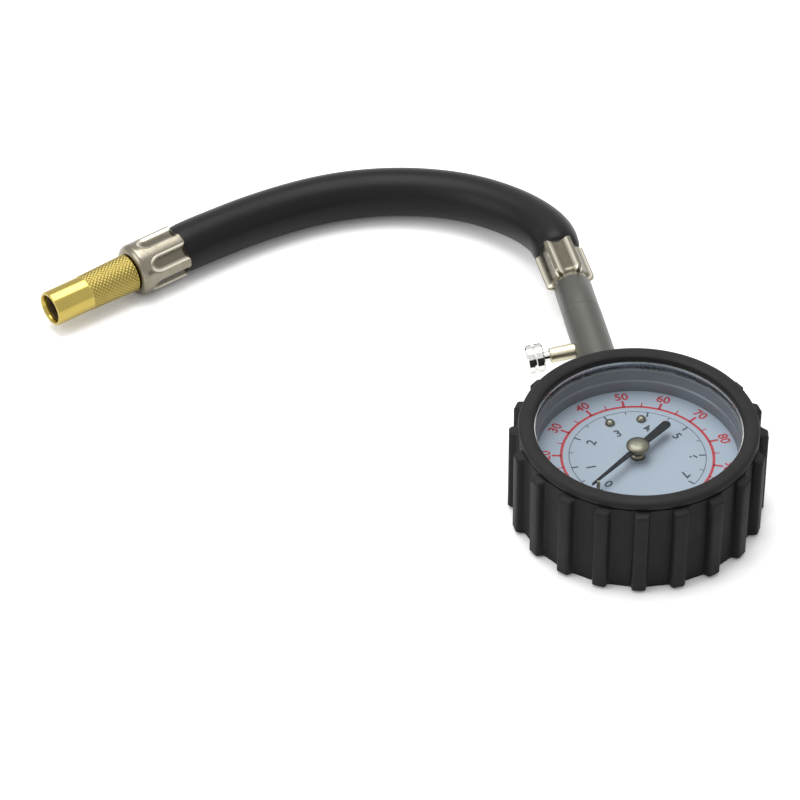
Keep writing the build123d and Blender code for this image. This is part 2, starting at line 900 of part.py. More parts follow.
# Toothed sector: rim with thirteen teeth, two spokes, a hub and a tail for the link
tooth_first = 180.0 - 10.5 * sector_step
rim_outer = sector_pitch_radius - sector_tooth_root
rim_inner = rim_outer - sector_rim_width
tail_angle = -sector_travel / 2
tail_point = (tail_arm * cos(radians(tail_angle)), tail_arm * sin(radians(tail_angle)))
with BuildPart() as sector_gear:
    with BuildSketch(sector_axis.offset(sector_z)):
        rim_start = tooth_first - sector_rim_margin
        teeth_sweep = (sector_tooth_count - 1) * sector_step
        rim_sweep = teeth_sweep + 2 * sector_rim_margin
        with BuildLine():
            outer = CenterArc((0, 0), rim_outer, rim_start, rim_sweep)
            inner = CenterArc((0, 0), rim_inner, rim_start, rim_sweep)
            Line(outer @ 0, inner @ 0)
            Line(outer @ 1, inner @ 1)
        make_face()
        with PolarLocations(sector_pitch_radius, sector_tooth_count, start_angle=tooth_first,
                            angular_range=teeth_sweep, endpoint=True):
            Polygon(
                (-sector_tooth_root - 0.12, -sector_tooth_root_width / 2),
                (-sector_tooth_root, -sector_tooth_root_width / 2),
                (sector_tooth_tip, -sector_tooth_tip_width / 2),
                (sector_tooth_tip, sector_tooth_tip_width / 2),
                (-sector_tooth_root, sector_tooth_root_width / 2),
                (-sector_tooth_root - 0.12, sector_tooth_root_width / 2),
                align=None,
            )
        for spoke_angle in (rim_start + sector_spoke_inset, rim_start + rim_sweep - sector_spoke_inset):
            with PolarLocations(rim_inner / 2, 1, start_angle=spoke_angle):
                Rectangle(rim_inner + 0.8, sector_spoke_width)
        Circle(sector_hub_radius)
        with PolarLocations(tail_arm / 2, 1, start_angle=tail_angle):
            SlotOverall(tail_arm + tail_width_across, tail_width_across)
        with Locations(tail_point):
            Circle(pin_radius, mode=Mode.SUBTRACT)
        Circle(arbor_radius, mode=Mode.SUBTRACT)
    extrude(amount=sector_thickness)
keep(sector_gear, "sector_gear")

with BuildPart() as sector_arbor:
    turned(
        sector_axis,
        [
            (bottom_plate_z, 0),
            (bottom_plate_z, journal_radius),
            (tongue_z + journal_step, journal_radius),
            (tongue_z + journal_step, arbor_radius),
            (plate_top, arbor_radius),
            (plate_top, 0),
        ],
    )
keep(sector_arbor, "sector_arbor")

tail_place = (centre_distance + tail_point[0], tail_point[1])
with BuildPart() as tail_pin:
    turned(
        upright(tail_place),
        [
            (sector_z, 0),
            (sector_z, pin_radius),
            (pin_head_z, pin_radius),
            (pin_head_z, tail_pin_head),
            (pin_head_z + pin_head_height, tail_pin_head),
            (pin_head_z + pin_head_height, 0),
        ],
    )
keep(tail_pin, "tail_pin")

# Link between the tube's tip and the sector's tail: its tail hole is the linkage's open pivot
with BuildPart() as link:
    with BuildLine() as link_ends:
        CenterArc(tip_pin_place, link_tip_radius, 0, 360)
        CenterArc(tail_place, link_tail_radius, 0, 360)
    with BuildSketch(Plane.XY.offset(link_z)):
        make_hull(link_ends.line.edges())
        with Locations(tip_pin_place):
            Circle(pin_radius + running_clearance, mode=Mode.SUBTRACT)
        with Locations(tail_place):
            Circle(pin_radius + open_pivot_clearance, mode=Mode.SUBTRACT)
    extrude(amount=link_thickness)
keep(link, "link")

# Stem, its seals and the hose fitting
with BuildPart() as stem_body:
    turned(
        stem_axis,
        [
            (stem_start, spigot_radius),
            (stem_start, stem_radius - stem_edge),
            (stem_start + stem_edge, stem_radius),
            (stem_joint - stem_edge, stem_radius),
            (stem_joint, stem_radius - stem_edge),
            (stem_joint, joint_spigot_radius),
            (joint_bore_start, joint_spigot_radius),
            (joint_bore_start, channel_radius),
            (socket_bore_end, channel_radius),
            (socket_bore_end, spigot_radius),
        ],
    )
    disc(valve_axis, sleeve_radius - sleeve_step, 0, stem_radius + 1, Mode.SUBTRACT)
keep(stem_body, "stem_body")

with BuildPart() as socket_seal:
    turned(
        stem_axis,
        [
            (spigot_end, channel_radius),
            (spigot_end, spigot_radius),
            (socket_bore_end, spigot_radius),
            (socket_bore_end, channel_radius),
        ],
    )
keep(socket_seal, "socket_seal")

with BuildPart() as stem_seal:
    turned(
        stem_axis,
        [
            (joint_bore_start, channel_radius),
            (joint_bore_start, joint_spigot_radius),
            (joint_spigot_start, joint_spigot_radius),
            (joint_spigot_start, channel_radius),
        ],
    )
keep(stem_seal, "stem_seal")


def barbs(tip, root):
    """Outline points of a barbed hose tail, from its tip to its root: each barb rises away from the tip."""
    pitch = (root - tip) / barb_count
    points = []
    for barb in range(barb_count):
        start = tip + barb * pitch
        points.append((start, hose_bore_radius - barb_height))
        points.append((start + barb_rise * pitch, hose_bore_radius))
        points.append((start + pitch, hose_bore_radius))
    return points


with BuildPart() as hose_fitting:
    turned(
        stem_axis,
        [
            (joint_spigot_start, fitting_channel_radius),
            (joint_spigot_start, joint_spigot_radius),
            (stem_joint, joint_spigot_radius),
            (stem_joint, stem_top_radius - stem_edge),
            (stem_joint + stem_edge, stem_top_radius),
            (stem_end - stem_edge, stem_top_radius),
            (stem_end, stem_top_radius - stem_edge),
            (stem_end, fitting_channel_radius),
        ],
    )
    turned(
        near_fitting_axis,
        [
            (-1.0, fitting_channel_radius),
            (-1.0, near_neck_radius),
            (near_ferrule_start + ferrule_wall, near_neck_radius),
            (near_ferrule_start + ferrule_wall, near_hose_end_radius),
            (hose_collar_length, near_hose_end_radius),
            *reversed(barbs(near_mouth - tail_setback, hose_collar_length)),
            (near_mouth - tail_setback, fitting_channel_radius),
        ],
    )
keep(hose_fitting, "hose_fitting")

# Bleed valve: a sleeve in the stem's side, a sprung button and the seal on its inner end
with BuildPart() as valve_sleeve:
    turned(
        valve_axis,
        [
            (sleeve_inner_end, sleeve_seat_radius),
            (sleeve_inner_end, sleeve_radius - sleeve_step),
            (stem_radius, sleeve_radius - sleeve_step),
            (stem_radius, sleeve_radius),
            (sleeve_outer_end - sleeve_step, sleeve_radius),
            (sleeve_outer_end, sleeve_radius - sleeve_step),
            (sleeve_outer_end, sleeve_bore_radius),
            (spring_seat, sleeve_bore_radius),
            (spring_seat, sleeve_seat_radius),
        ],
    )
keep(valve_sleeve, "valve_sleeve")

with BuildPart() as bleed_button:
    turned(
        valve_axis,
        [
            (plunger_start, 0),
            (plunger_start, plunger_stem_radius),
            (spring_head, plunger_stem_radius),
            (spring_head, plunger_radius),
            (button_start, plunger_radius),
            (button_start, button_radius - button_edge),
            (button_start + button_edge, button_radius),
            (button_groove[0], button_radius),
            (button_groove[0], button_radius - button_groove_depth),
            (button_groove[1], button_radius - button_groove_depth),
            (button_groove[1], button_radius),
            (button_end - button_crown, button_radius),
            (button_end, button_radius - button_crown),
            (button_end, 0),
        ],
    )
keep(bleed_button, "bleed_button")

with BuildPart() as valve_seal:
    turned(
        valve_axis,
        [
            (plunger_start, plunger_stem_radius),
            (plunger_start, valve_seal_radius),
            (sleeve_inner_end - valve_seal_gap, valve_seal_radius),
            (sleeve_inner_end - valve_seal_gap, plunger_stem_radius),
        ],
    )
keep(valve_seal, "valve_seal")

spring_start = spring_seat + spring_wire
spring_length = spring_head - spring_seat - 2 * spring_wire
spring_axis = valve_axis.offset(spring_start)
with BuildPart() as valve_spring:
    with BuildLine():
        coil = Helix(
            pitch=spring_length / spring_turns,
            height=spring_length,
            radius=spring_coil_radius,
            center=spring_axis.origin,
            direction=spring_axis.z_dir,
        )
    with BuildSketch(Plane(origin=coil @ 0, z_dir=coil % 0)):
        RegularPolygon(spring_wire, 6)
    sweep(path=coil)
keep(valve_spring, "valve_spring")


# Crimped ferrules: a rolled end wall, a rounded shoulder and six pressed flutes that run out at the mouth
def crimped_ferrule(mouth, end, ridge_radius, bore_radius, neck_radius, shoulder, cutter_radius, flute_depth,
                    flute_end, flute_turn):
    """Build a ferrule whose mouth lies on a plane, with the plane's z towards the fitting."""
    cutter_distance = ridge_radius - flute_depth + cutter_radius
    flute_stop = end - flute_end
    with BuildPart() as ferrule:
        turned(
            mouth,
            [
                (0, bore_radius),
                (0, ridge_radius - ferrule_lip),
                (ferrule_lip, ridge_radius),
                (end - shoulder, ridge_radius),
                (end - 0.62 * shoulder, ridge_radius - 0.08 * shoulder),
                (end - 0.29 * shoulder, ridge_radius - 0.29 * shoulder),
                (end - 0.08 * shoulder, ridge_radius - 0.62 * shoulder),
                (end, ridge_radius - shoulder),
                (end, neck_radius),
                (end - ferrule_wall, neck_radius),
                (end - ferrule_wall, bore_radius),
            ],
        )
        with BuildSketch(turned_about(mouth, flute_turn).offset(-ferrule_wall)) as flutes:
            with PolarLocations(cutter_distance, flute_count):
                Circle(cutter_radius)
        extrude(flutes.sketch, amount=flute_stop + ferrule_wall, mode=Mode.SUBTRACT)
        if flute_stop < end:
            with Locations(turned_about(mouth, flute_turn).offset(flute_stop)):
                with PolarLocations(cutter_distance, flute_count):
                    Sphere(cutter_radius, mode=Mode.SUBTRACT)
    return ferrule


near_mouth_axis = Plane(
    origin=near_fitting_axis.origin + near_direction * near_mouth,
    x_dir=(0, 0, 1),
    z_dir=near_direction * -1,
)
near_ferrule = crimped_ferrule(
    near_mouth_axis, near_mouth - near_ferrule_start, near_ferrule_radius, near_hose_end_radius,
    near_neck_radius, near_shoulder, near_flute_cutter, near_flute_depth, near_flute_end, near_flute_turn,
)
keep(near_ferrule, "near_ferrule")
far_ferrule = crimped_ferrule(
    far_mouth_axis, ferrule_length, far_ferrule_radius, far_hose_end_radius, nipple_neck_radius, far_shoulder,
    far_flute_cutter, far_flute_depth, far_flute_end, far_flute_turn,
)
keep(far_ferrule, "far_ferrule")

# Hose: straight runs joined by tangent arcs, turned down where the ferrules squeeze it
runs = [(Vector(*b) - Vector(*a)) for a, b in zip(hose_route[:-1], hose_route[1:])]
hose_radii = []
for before, after in zip(runs[:-1], runs[1:]):
    half_turn = radians(before.get_angle(after)) / 2
    hose_radii.append(run_share * min(before.length, after.length) / tan(half_turn))
with BuildPart() as hose:
    with BuildLine() as route:
        FilletPolyline(*hose_route, radius=hose_radii)
    with BuildSketch(Plane(origin=hose_route[0], x_dir=(0, 0, 1), z_dir=near_direction)):
        Circle(hose_radius)
        Circle(hose_bore_radius, mode=Mode.SUBTRACT)
    sweep()
    full_volume = hose.part.volume
    turned(
        near_fitting_axis,
        [
            (hose_collar_length - hose_trim, near_hose_end_radius),
            (hose_collar_length - hose_trim, hose_radius + hose_trim),
            (near_mouth, hose_radius + hose_trim),
            (near_mouth, near_hose_end_radius),
        ],
        Mode.SUBTRACT,
    )
    turned(
        far_mouth_axis,
        [
            (0, far_hose_end_radius),
            (0, hose_radius + hose_trim),
            (hose_insertion + hose_trim, hose_radius + hose_trim),
            (hose_insertion + hose_trim, far_hose_end_radius),
        ],
        Mode.SUBTRACT,
    )
keep(hose, "hose")
hose_length = route.wires()[0].length
hose_section = pi * (hose_radius**2 - hose_bore_radius**2)
print("hose radii", [round(radius, 1) for radius in hose_radii])
volume_share = full_volume / (hose_section * hose_length)
print("hose length", round(hose_length, 1), "volume share", round(volume_share, 4))

# Chuck: a barbed nipple whose head holds the knurled sleeve, with a seal and a pin for the valve's core
with BuildPart() as chuck_nipple:
    turned(
        far_mouth_axis,
        [
            (tail_setback, nipple_channel_radius),
            *barbs(tail_setback, hose_insertion),
            (hose_insertion, far_hose_end_radius),
            (ferrule_length - ferrule_wall, far_hose_end_radius),
            (ferrule_length - ferrule_wall, nipple_neck_radius),
            (chuck_shoulder + nipple_head_gap, nipple_neck_radius),
            (chuck_shoulder + nipple_head_gap, nipple_head_radius),
            (nipple_head_end, nipple_head_radius),
            (nipple_head_end, nipple_channel_radius),
        ],
    )
keep(chuck_nipple, "chuck_nipple")

with BuildPart() as chuck_sleeve:
    turned(
        far_mouth_axis,
        [
            (chuck_back, nipple_neck_radius + running_clearance),
            (chuck_back, knurl_back_radius - chuck_back_edge),
            (chuck_back + chuck_back_edge, knurl_back_radius),
            (knurl_end, knurl_front_radius),
            (knurl_end, chuck_smooth_radius),
            (chuck_mouth - chuck_edge, chuck_smooth_radius),
            (chuck_mouth, chuck_smooth_radius - chuck_edge),
            (chuck_mouth, chuck_mouth_radius),
            (chuck_mouth - chuck_mouth_depth, chuck_mouth_radius - chuck_mouth_taper),
            (chuck_mouth - chuck_mouth_depth, chuck_thread_radius),
            (chuck_thread_start, chuck_thread_radius),
            (chuck_thread_start, chuck_relief_radius),
            (chuck_shoulder, chuck_relief_radius),
            (chuck_shoulder, nipple_neck_radius + running_clearance),
        ],
    )
keep(chuck_sleeve, "chuck_sleeve")

with BuildPart() as chuck_seal:
    turned(
        far_mouth_axis,
        [
            (nipple_head_end, seal_bore_radius),
            (nipple_head_end, nipple_head_radius - seal_gap),
            (seal_end, nipple_head_radius - seal_gap),
            (seal_end, seal_bore_radius),
        ],
    )
keep(chuck_seal, "chuck_seal")

with BuildPart() as core_depressor:
    turned(
        far_mouth_axis,
        [
            (nipple_head_end - depressor_plug[0], 0),
            (nipple_head_end - depressor_plug[0], nipple_channel_radius),
            (nipple_head_end - depressor_plug[1], nipple_channel_radius),
            (nipple_head_end - depressor_plug[1], depressor_radius),
            (seal_end + depressor_reach, depressor_radius),
            (seal_end + depressor_reach, 0),
        ],
    )
keep(core_depressor, "core_depressor")

os.makedirs("parts", exist_ok=True)
for name, part in all_parts:
    export_step(part, f"parts/{name}.step")
print(len(all_parts), "pieces")
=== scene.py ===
"""Looks of a tire inflator gauge: a booted dial gauge, a stem with a bleed valve, a curved hose and a chuck.

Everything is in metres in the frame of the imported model. Sizes in the classes are in millimetres.
"""
import logging
import math
from collections.abc import Callable
from dataclasses import dataclass, field
from enum import Enum

import bpy
from mathutils import Matrix, Vector


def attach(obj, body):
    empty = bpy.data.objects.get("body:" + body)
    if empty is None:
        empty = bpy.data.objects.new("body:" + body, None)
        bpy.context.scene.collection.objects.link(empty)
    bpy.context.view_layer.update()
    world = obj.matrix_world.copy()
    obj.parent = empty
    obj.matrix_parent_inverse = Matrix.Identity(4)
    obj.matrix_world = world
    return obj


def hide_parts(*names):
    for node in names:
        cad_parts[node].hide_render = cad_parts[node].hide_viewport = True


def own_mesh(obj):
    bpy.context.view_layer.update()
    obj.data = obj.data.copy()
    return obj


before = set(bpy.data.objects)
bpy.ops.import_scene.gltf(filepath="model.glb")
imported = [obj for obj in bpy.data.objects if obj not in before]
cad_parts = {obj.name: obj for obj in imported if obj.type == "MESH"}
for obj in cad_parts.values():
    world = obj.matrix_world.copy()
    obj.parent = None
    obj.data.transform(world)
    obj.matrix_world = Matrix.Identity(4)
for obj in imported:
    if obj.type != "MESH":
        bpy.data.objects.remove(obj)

MM = 0.001
ROOT = "gauge_body"
log = logging.getLogger("gauge")
Outline = list[tuple[float, float]]


# Colours and materials


def linear(code: str) -> tuple[float, float, float, float]:
    """Turn an sRGB hex colour to linear values.

    Args:
        code: Six hex digits, with or without a leading hash.

    Returns:
        Linear red, green and blue with an alpha of 1.
    """
    code = code.lstrip("#")
    parts = [int(code[i : i + 2], 16) / 255 for i in (0, 2, 4)]
    red, green, blue = (c / 12.92 if c <= 0.04045 else ((c + 0.055) / 1.055) ** 2.4 for c in parts)
    return (red, green, blue, 1.0)


def add_node(
    tree: bpy.types.NodeTree, kind: str, settings: dict | None = None, links: dict | None = None
) -> bpy.types.Node:
    """Add a node, give it settings and values, and link its inputs.

    Args:
        tree: The material's node tree.
        kind: The node's type name.
        settings: Node properties, or input values where the name is an input.
        links: Input name or index to the output socket that feeds it.

    Returns:
        The new node.
    """
    node = tree.nodes.new(kind)
    for name, value in (settings or {}).items():
        if isinstance(name, str) and hasattr(node, name):
            setattr(node, name, value)
        else:
            node.inputs[name].default_value = value
    for name, socket in (links or {}).items():
        tree.links.new(socket, node.inputs[name])
    return node


class Texture(Enum):
    """How a finish's surface was made, which picks its pattern."""

    MOULDED = "moulded"
    SATIN = "satin"
    TURNED = "turned"
    POLISHED = "polished"
    PRINTED = "printed"


@dataclass(frozen=True)
class Finish:
    """A real material with the way its surface was made.

    Attributes:
        title: The material's common name.
        colour: Main colour as sRGB hex.
        second: Colour that the main one drifts to, as sRGB hex.
        texture: How the surface was made.
        metallic: 1 for bare or plated metal.
        roughness: Typical roughness.
        drift: How far the roughness varies over the surface.
        grain_mm: Size of the fine pattern.
        relief_mm: Height of the fine pattern.
        patch_mm: Size of the slow colour variation.
        shine: Strength of a non-metal's reflection, 0.5 as a rule.
        worn: Colour at half depth of a pressed pattern and colour on its floor, as sRGB hex; they paint
            highlight and shade by depth.
    """

    title: str
    colour: str
    second: str
    texture: Texture
    metallic: float = 0.0
    roughness: float = 0.5
    drift: float = 0.08
    grain_mm: float = 0.4
    relief_mm: float = 0.01
    patch_mm: float = 8.0
    shine: float = 0.5
    # Painted light: a half-depth colour and a floor colour paint highlight and shade into pressed patterns
    worn: tuple[str, str] | None = None

    def build(self) -> bpy.types.Material:
        """Build the finish as a node material.

        Returns:
            The material, made once and then shared.
        """
        if self.title in bpy.data.materials:
            return bpy.data.materials[self.title]
        material = bpy.data.materials.new(self.title)
        material.use_nodes = True
        material.diffuse_color = linear(self.colour)
        tree = material.node_tree
        shader = tree.nodes["Principled BSDF"]
        shader.inputs["Metallic"].default_value = self.metallic
        if not self.metallic:
            shader.inputs["Specular IOR Level"].default_value = self.shine
        place = add_node(tree, "ShaderNodeTexCoord").outputs["Object"]
        patches = add_node(
            tree, "ShaderNodeTexNoise", {"Scale": 1 / (self.patch_mm * MM), "Detail": 4.0, "Roughness": 0.6},
            {"Vector": place},
        )
        colour = add_node(
            tree, "ShaderNodeMix", {"data_type": "RGBA", 6: linear(self.colour), 7: linear(self.second)},
            {0: patches.outputs["Fac"]},
        )
        tree.links.new(self.wear(tree, colour.outputs[2]), shader.inputs["Base Color"])
        rough = add_node(
            tree, "ShaderNodeMapRange",
            {"From Min": 0.3, "From Max": 0.7, "To Min": self.roughness - self.drift,
             "To Max": self.roughness + self.drift},
            {"Value": patches.outputs["Fac"]},
        )
        tree.links.new(rough.outputs["Result"], shader.inputs["Roughness"])
        grain = self.grain(tree, place)
        if grain is not None:
            bump = add_node(
                tree, "ShaderNodeBump", {"Strength": 0.6, "Distance": self.relief_mm * MM}, {"Height": grain}
            )
            tree.links.new(bump.outputs["Normal"], shader.inputs["Normal"])
        return material

    def wear(self, tree: bpy.types.NodeTree, colour: bpy.types.NodeSocket) -> bpy.types.NodeSocket:
        """Paint light and shade on the walls and the floor of a pressed pattern by its own depth attribute.

        Args:
            tree: The material's node tree.
            colour: The colour of the untouched surface.

        Returns:
            The colour with the painted highlight and shade, or the same colour where the finish has none.
        """
        if self.worn is None:
            return colour
        depth = add_node(tree, "ShaderNodeAttribute", {"attribute_name": "press"}).outputs["Fac"]
        wall = add_node(tree, "ShaderNodeMapRange", {"From Min": 0.02, "From Max": 0.22}, {"Value": depth})
        floor = add_node(tree, "ShaderNodeMapRange", {"From Min": 0.3, "From Max": 0.75}, {"Value": depth})
        edged = add_node(tree, "ShaderNodeMix", {"data_type": "RGBA", 7: linear(self.worn[0])},
                         {0: wall.outputs["Result"], 6: colour})
        floored = add_node(tree, "ShaderNodeMix", {"data_type": "RGBA", 7: linear(self.worn[1])},
                           {0: floor.outputs["Result"], 6: edged.outputs[2]})
        return floored.outputs[2]

    def grain(self, tree: bpy.types.NodeTree, place: bpy.types.NodeSocket) -> bpy.types.NodeSocket | None:
        """Add the fine pattern that the making leaves.

        Args:
            tree: The material's node tree.
            place: Object coordinates.

        Returns:
            The pattern's height, or None on a polished surface.
        """
        scale = 1 / (self.grain_mm * MM)
        if self.texture is Texture.POLISHED:
            return None
        if self.texture is Texture.TURNED:
            stretched = add_node(
                tree, "ShaderNodeMapping", {"Scale": (scale * 0.08, scale, scale)}, {"Vector": place}
            )
            lines = add_node(
                tree, "ShaderNodeTexNoise", {"Scale": 1.0, "Detail": 2.0}, {"Vector": stretched.outputs[0]}
            )
            return lines.outputs["Fac"]
        if self.texture is Texture.MOULDED:
            pits = add_node(tree, "ShaderNodeTexVoronoi", {"Scale": scale}, {"Vector": place})
            return pits.outputs["Distance"]
        noise = add_node(tree, "ShaderNodeTexNoise", {"Scale": scale, "Detail": 3.0}, {"Vector": place})
        return noise.outputs["Fac"]


# Moulded nitrile rubber of the boot: a fine matt mould texture, dark grey rather than black
BOOT_RUBBER = Finish("moulded_nitrile_rubber", "#161616", "#1c1c1b", Texture.MOULDED, roughness=0.6,
                     grain_mm=0.3, relief_mm=0.012, patch_mm=14, shine=0.2)
# Extruded rubber of the hose: smoother than the boot, with a broad soft highlight along it
HOSE_RUBBER = Finish("extruded_hose_rubber", "#141414", "#191919", Texture.SATIN, roughness=0.38, drift=0.05,
                     grain_mm=0.5, relief_mm=0.005, patch_mm=20, shine=0.15)
# Red rubber seal: a dull spot of colour at the bottom of the chuck's mouth
SEAL_RUBBER = Finish("red_seal_rubber", "#7a2b22", "#6a241d", Texture.SATIN, roughness=0.55)
# Pale silicone under the lens: a quiet edge, where black rubber would draw a dark line round the dial
PALE_SILICONE = Finish("pale_silicone", "#9a9c9c", "#8e9090", Texture.SATIN, roughness=0.5)
# Black rubber seals inside the stem: matt, so nothing gleams in their gaps
INNER_RUBBER = Finish("black_seal_rubber", "#1a1a1a", "#212121", Texture.SATIN, roughness=0.55)
# Gunmetal plate over blasted brass: a grey satin stem with one long soft highlight
GUNMETAL = Finish("satin_gunmetal_plate", "#575854", "#605f5a", Texture.SATIN, metallic=0.8, roughness=0.42,
                  drift=0.04, grain_mm=0.12, relief_mm=0.002, patch_mm=10)
# Nickel plate over crimped steel: warm and mottled, with a painted highlight on the walls of its flutes and
# painted shade on their floors
FERRULE_NICKEL = Finish("nickel_plated_steel", "#989283", "#676257", Texture.POLISHED, metallic=1.0,
                        roughness=0.28, drift=0.05, patch_mm=4, worn=("#ddd8c6", "#6c675a"))
# Nickel plate on hub and screw heads: a warm dome with one soft highlight
HUB_NICKEL = Finish("domed_nickel_plate", "#8f8a78", "#7a7462", Texture.SATIN, metallic=1.0, roughness=0.36,
                    grain_mm=0.3, relief_mm=0.006, patch_mm=1.5)
# Free-machining brass, turned and polished: a clear yellow band with sharp reflections
POLISHED_BRASS = Finish("polished_brass", "#b6a45a", "#a9964e", Texture.POLISHED, metallic=1.0,
                        roughness=0.18, drift=0.03, patch_mm=6)
# Free-machining brass under the knurl: painted shade darkens and browns it from the crests down into the
# valleys
KNURLED_BRASS = Finish("knurled_brass", "#b8a862", "#ab9b57", Texture.POLISHED, metallic=1.0, roughness=0.38,
                       drift=0.05, patch_mm=4, worn=("#ad9d5a", "#8f7f44"))
# Painted shade inside the mouth: the threaded inside takes a dark brown brass that stands for the shade of
# the deep opening
MOUTH_PAINTED_SHADE = Finish("brass_with_painted_shade", "#4f4126", "#3f3420", Texture.POLISHED, metallic=0.8, roughness=0.45)
# Pale nickel plate over the valve sleeve: a cream metal between the grey stem and the white button
SLEEVE_NICKEL = Finish("pale_nickel_plate", "#ddd7c0", "#cfc7a8", Texture.POLISHED, metallic=1.0,
                       roughness=0.36)
# Machined brass of the movement: fine turning lines that streak its gleam
MOVEMENT_BRASS = Finish("machined_brass", "#c8ab55", "#bb9d49", Texture.TURNED, metallic=1.0, roughness=0.32)
# Bright chrome plate of the button: a mirror that nearly fades into a white background
VALVE_CHROME = Finish("bright_chrome_plate", "#e2e2df", "#d8d8d4", Texture.POLISHED, metallic=1.0,
                      roughness=0.08, drift=0.02)
# Drawn steel of the case: faint drawing lines in a grey gleam
CASE_STEEL = Finish("drawn_steel", "#8d8f93", "#7f8185", Texture.TURNED, metallic=1.0, roughness=0.3,
                    grain_mm=0.3)
# Bright rolled steel of the bezel: a thin light line inside the lip
BEZEL_STEEL = Finish("bright_rolled_steel", "#c9c9c6", "#bdbdb9", Texture.POLISHED, metallic=1.0,
                     roughness=0.2)
# Plated steel of screws, arbors and pins: light, with turning lines
SCREW_STEEL = Finish("plated_screw_steel", "#a9a9a6", "#9b9b97", Texture.TURNED, metallic=1.0, roughness=0.28)
# Spring wire: smooth and pale, with a narrow highlight on each turn
SPRING_STEEL = Finish("spring_wire", "#b5b5b2", "#a5a5a2", Texture.POLISHED, metallic=1.0, roughness=0.25)
# Cast alloy ring between lens and dial: satin and a little blue
RING_ALLOY = Finish("cast_ring_alloy", "#85888c", "#7b7e82", Texture.SATIN, metallic=0.3, roughness=0.45,
                    drift=0.04, grain_mm=0.3, relief_mm=0.002, patch_mm=10)
# Stove enamel on the aluminium dial: a cool white with a slight sheen
DIAL_ENAMEL = Finish("white_dial_enamel", "#b7c0c9", "#bdc6ce", Texture.PRINTED, roughness=0.45, drift=0.03,
                     grain_mm=0.5, relief_mm=0.002, patch_mm=15)
# Red screen ink: flat and even, a shade lighter in places
RED_INK = Finish("red_dial_ink", "#c9343c", "#d0454b", Texture.PRINTED, roughness=0.5, relief_mm=0.002)
# Black screen ink: thin and bluish, softer than the pointer's black
BLACK_INK = Finish("black_dial_ink", "#3c424a", "#454b53", Texture.PRINTED, roughness=0.5, relief_mm=0.002)
# Black enamel on the pointer: the darkest thing on the dial, with a weak sheen
POINTER_ENAMEL = Finish("black_pointer_enamel", "#1b1c1e", "#222426", Texture.SATIN, roughness=0.4,
                        grain_mm=0.2, relief_mm=0.003, shine=0.2)


@dataclass(frozen=True)
class ClearLens:
    """Clear coated polycarbonate: the dial shows straight through, with a gloss that grows at a slant."""

    title: str = "clear_polycarbonate"
    tint: str = "#f4f6f8"
    gloss: float = 0.04
    coated_ior: float = 1.18

    def build(self) -> bpy.types.Material:
        """Build the lens material.

        Returns:
            The material.
        """
        material = bpy.data.materials.new(self.title)
        material.use_nodes = True
        material.diffuse_color = (0.9, 0.93, 0.96, 0.25)
        tree = material.node_tree
        tree.nodes.remove(tree.nodes["Principled BSDF"])
        clear = add_node(tree, "ShaderNodeBsdfTransparent", {"Color": linear(self.tint)})
        shine = add_node(tree, "ShaderNodeBsdfGlossy", {"Roughness": self.gloss})
        slant = add_node(tree, "ShaderNodeFresnel", {"IOR": self.coated_ior})
        inner = add_node(tree, "ShaderNodeNewGeometry").outputs["Backfacing"]
        outer = add_node(tree, "ShaderNodeMath", {"operation": "SUBTRACT", 0: 1.0}, {1: inner})
        share = add_node(
            tree, "ShaderNodeMath", {"operation": "MULTIPLY"}, {0: slant.outputs[0], 1: outer.outputs[0]}
        )
        both = add_node(
            tree, "ShaderNodeMixShader", None, {0: share.outputs[0], 1: clear.outputs[0], 2: shine.outputs[0]}
        )
        tree.links.new(both.outputs[0], tree.nodes["Material Output"].inputs["Surface"])
        return material


# Shaping helpers


def deselect_all() -> None:
    """Leave edit mode and deselect every object."""
    if bpy.context.object is not None and bpy.context.object.mode != "OBJECT":
        bpy.ops.object.mode_set(mode="OBJECT")
    bpy.ops.object.select_all(action="DESELECT")


def take(piece: bpy.types.Object) -> None:
    """Make a piece the only selected and the active one.

    Args:
        piece: The piece.
    """
    deselect_all()
    piece.select_set(True)
    bpy.context.view_layer.objects.active = piece


def choose(piece: bpy.types.Object, kind: str, wanted: Callable[..., bool]) -> None:
    """Select some vertices, edges or faces of a piece that is in edit mode.

    Args:
        piece: The piece, in edit mode.
        kind: Which of the mesh's lists, "vertices", "edges" or "polygons".
        wanted: Tells of each one whether it is selected.
    """
    bpy.ops.mesh.select_all(action="DESELECT")
    bpy.ops.object.mode_set(mode="OBJECT")
    for element in getattr(piece.data, kind):
        element.select = wanted(element)
    bpy.ops.object.mode_set(mode="EDIT")


def arc(centre: tuple[float, float], radius: float, start: float, end: float, steps: int) -> Outline:
    """List points along an arc of an outline.

    Args:
        centre: Radius and distance of the arc's centre, in mm.
        radius: The arc's radius, in mm.
        start: First angle in degrees, from outwards towards growing distance.
        end: Last angle in degrees.
        steps: Number of spans.

    Returns:
        The outline points.
    """
    turns = [math.radians(start + (end - start) * i / steps) for i in range(steps + 1)]
    return [(centre[0] + radius * math.cos(a), centre[1] + radius * math.sin(a)) for a in turns]


def spaced(outline: Outline, step: float) -> Outline:
    """Divide an outline's spans so that none is longer than a step.

    Args:
        outline: Points as (radius, distance), in mm.
        step: Longest span, in mm.

    Returns:
        The denser outline.
    """
    points = [outline[0]]
    for (ra, da), (rb, db) in zip(outline[:-1], outline[1:]):
        count = max(1, math.ceil(math.hypot(rb - ra, db - da) / step))
        points += [(ra + (rb - ra) * i / count, da + (db - da) * i / count) for i in range(1, count + 1)]
    return points


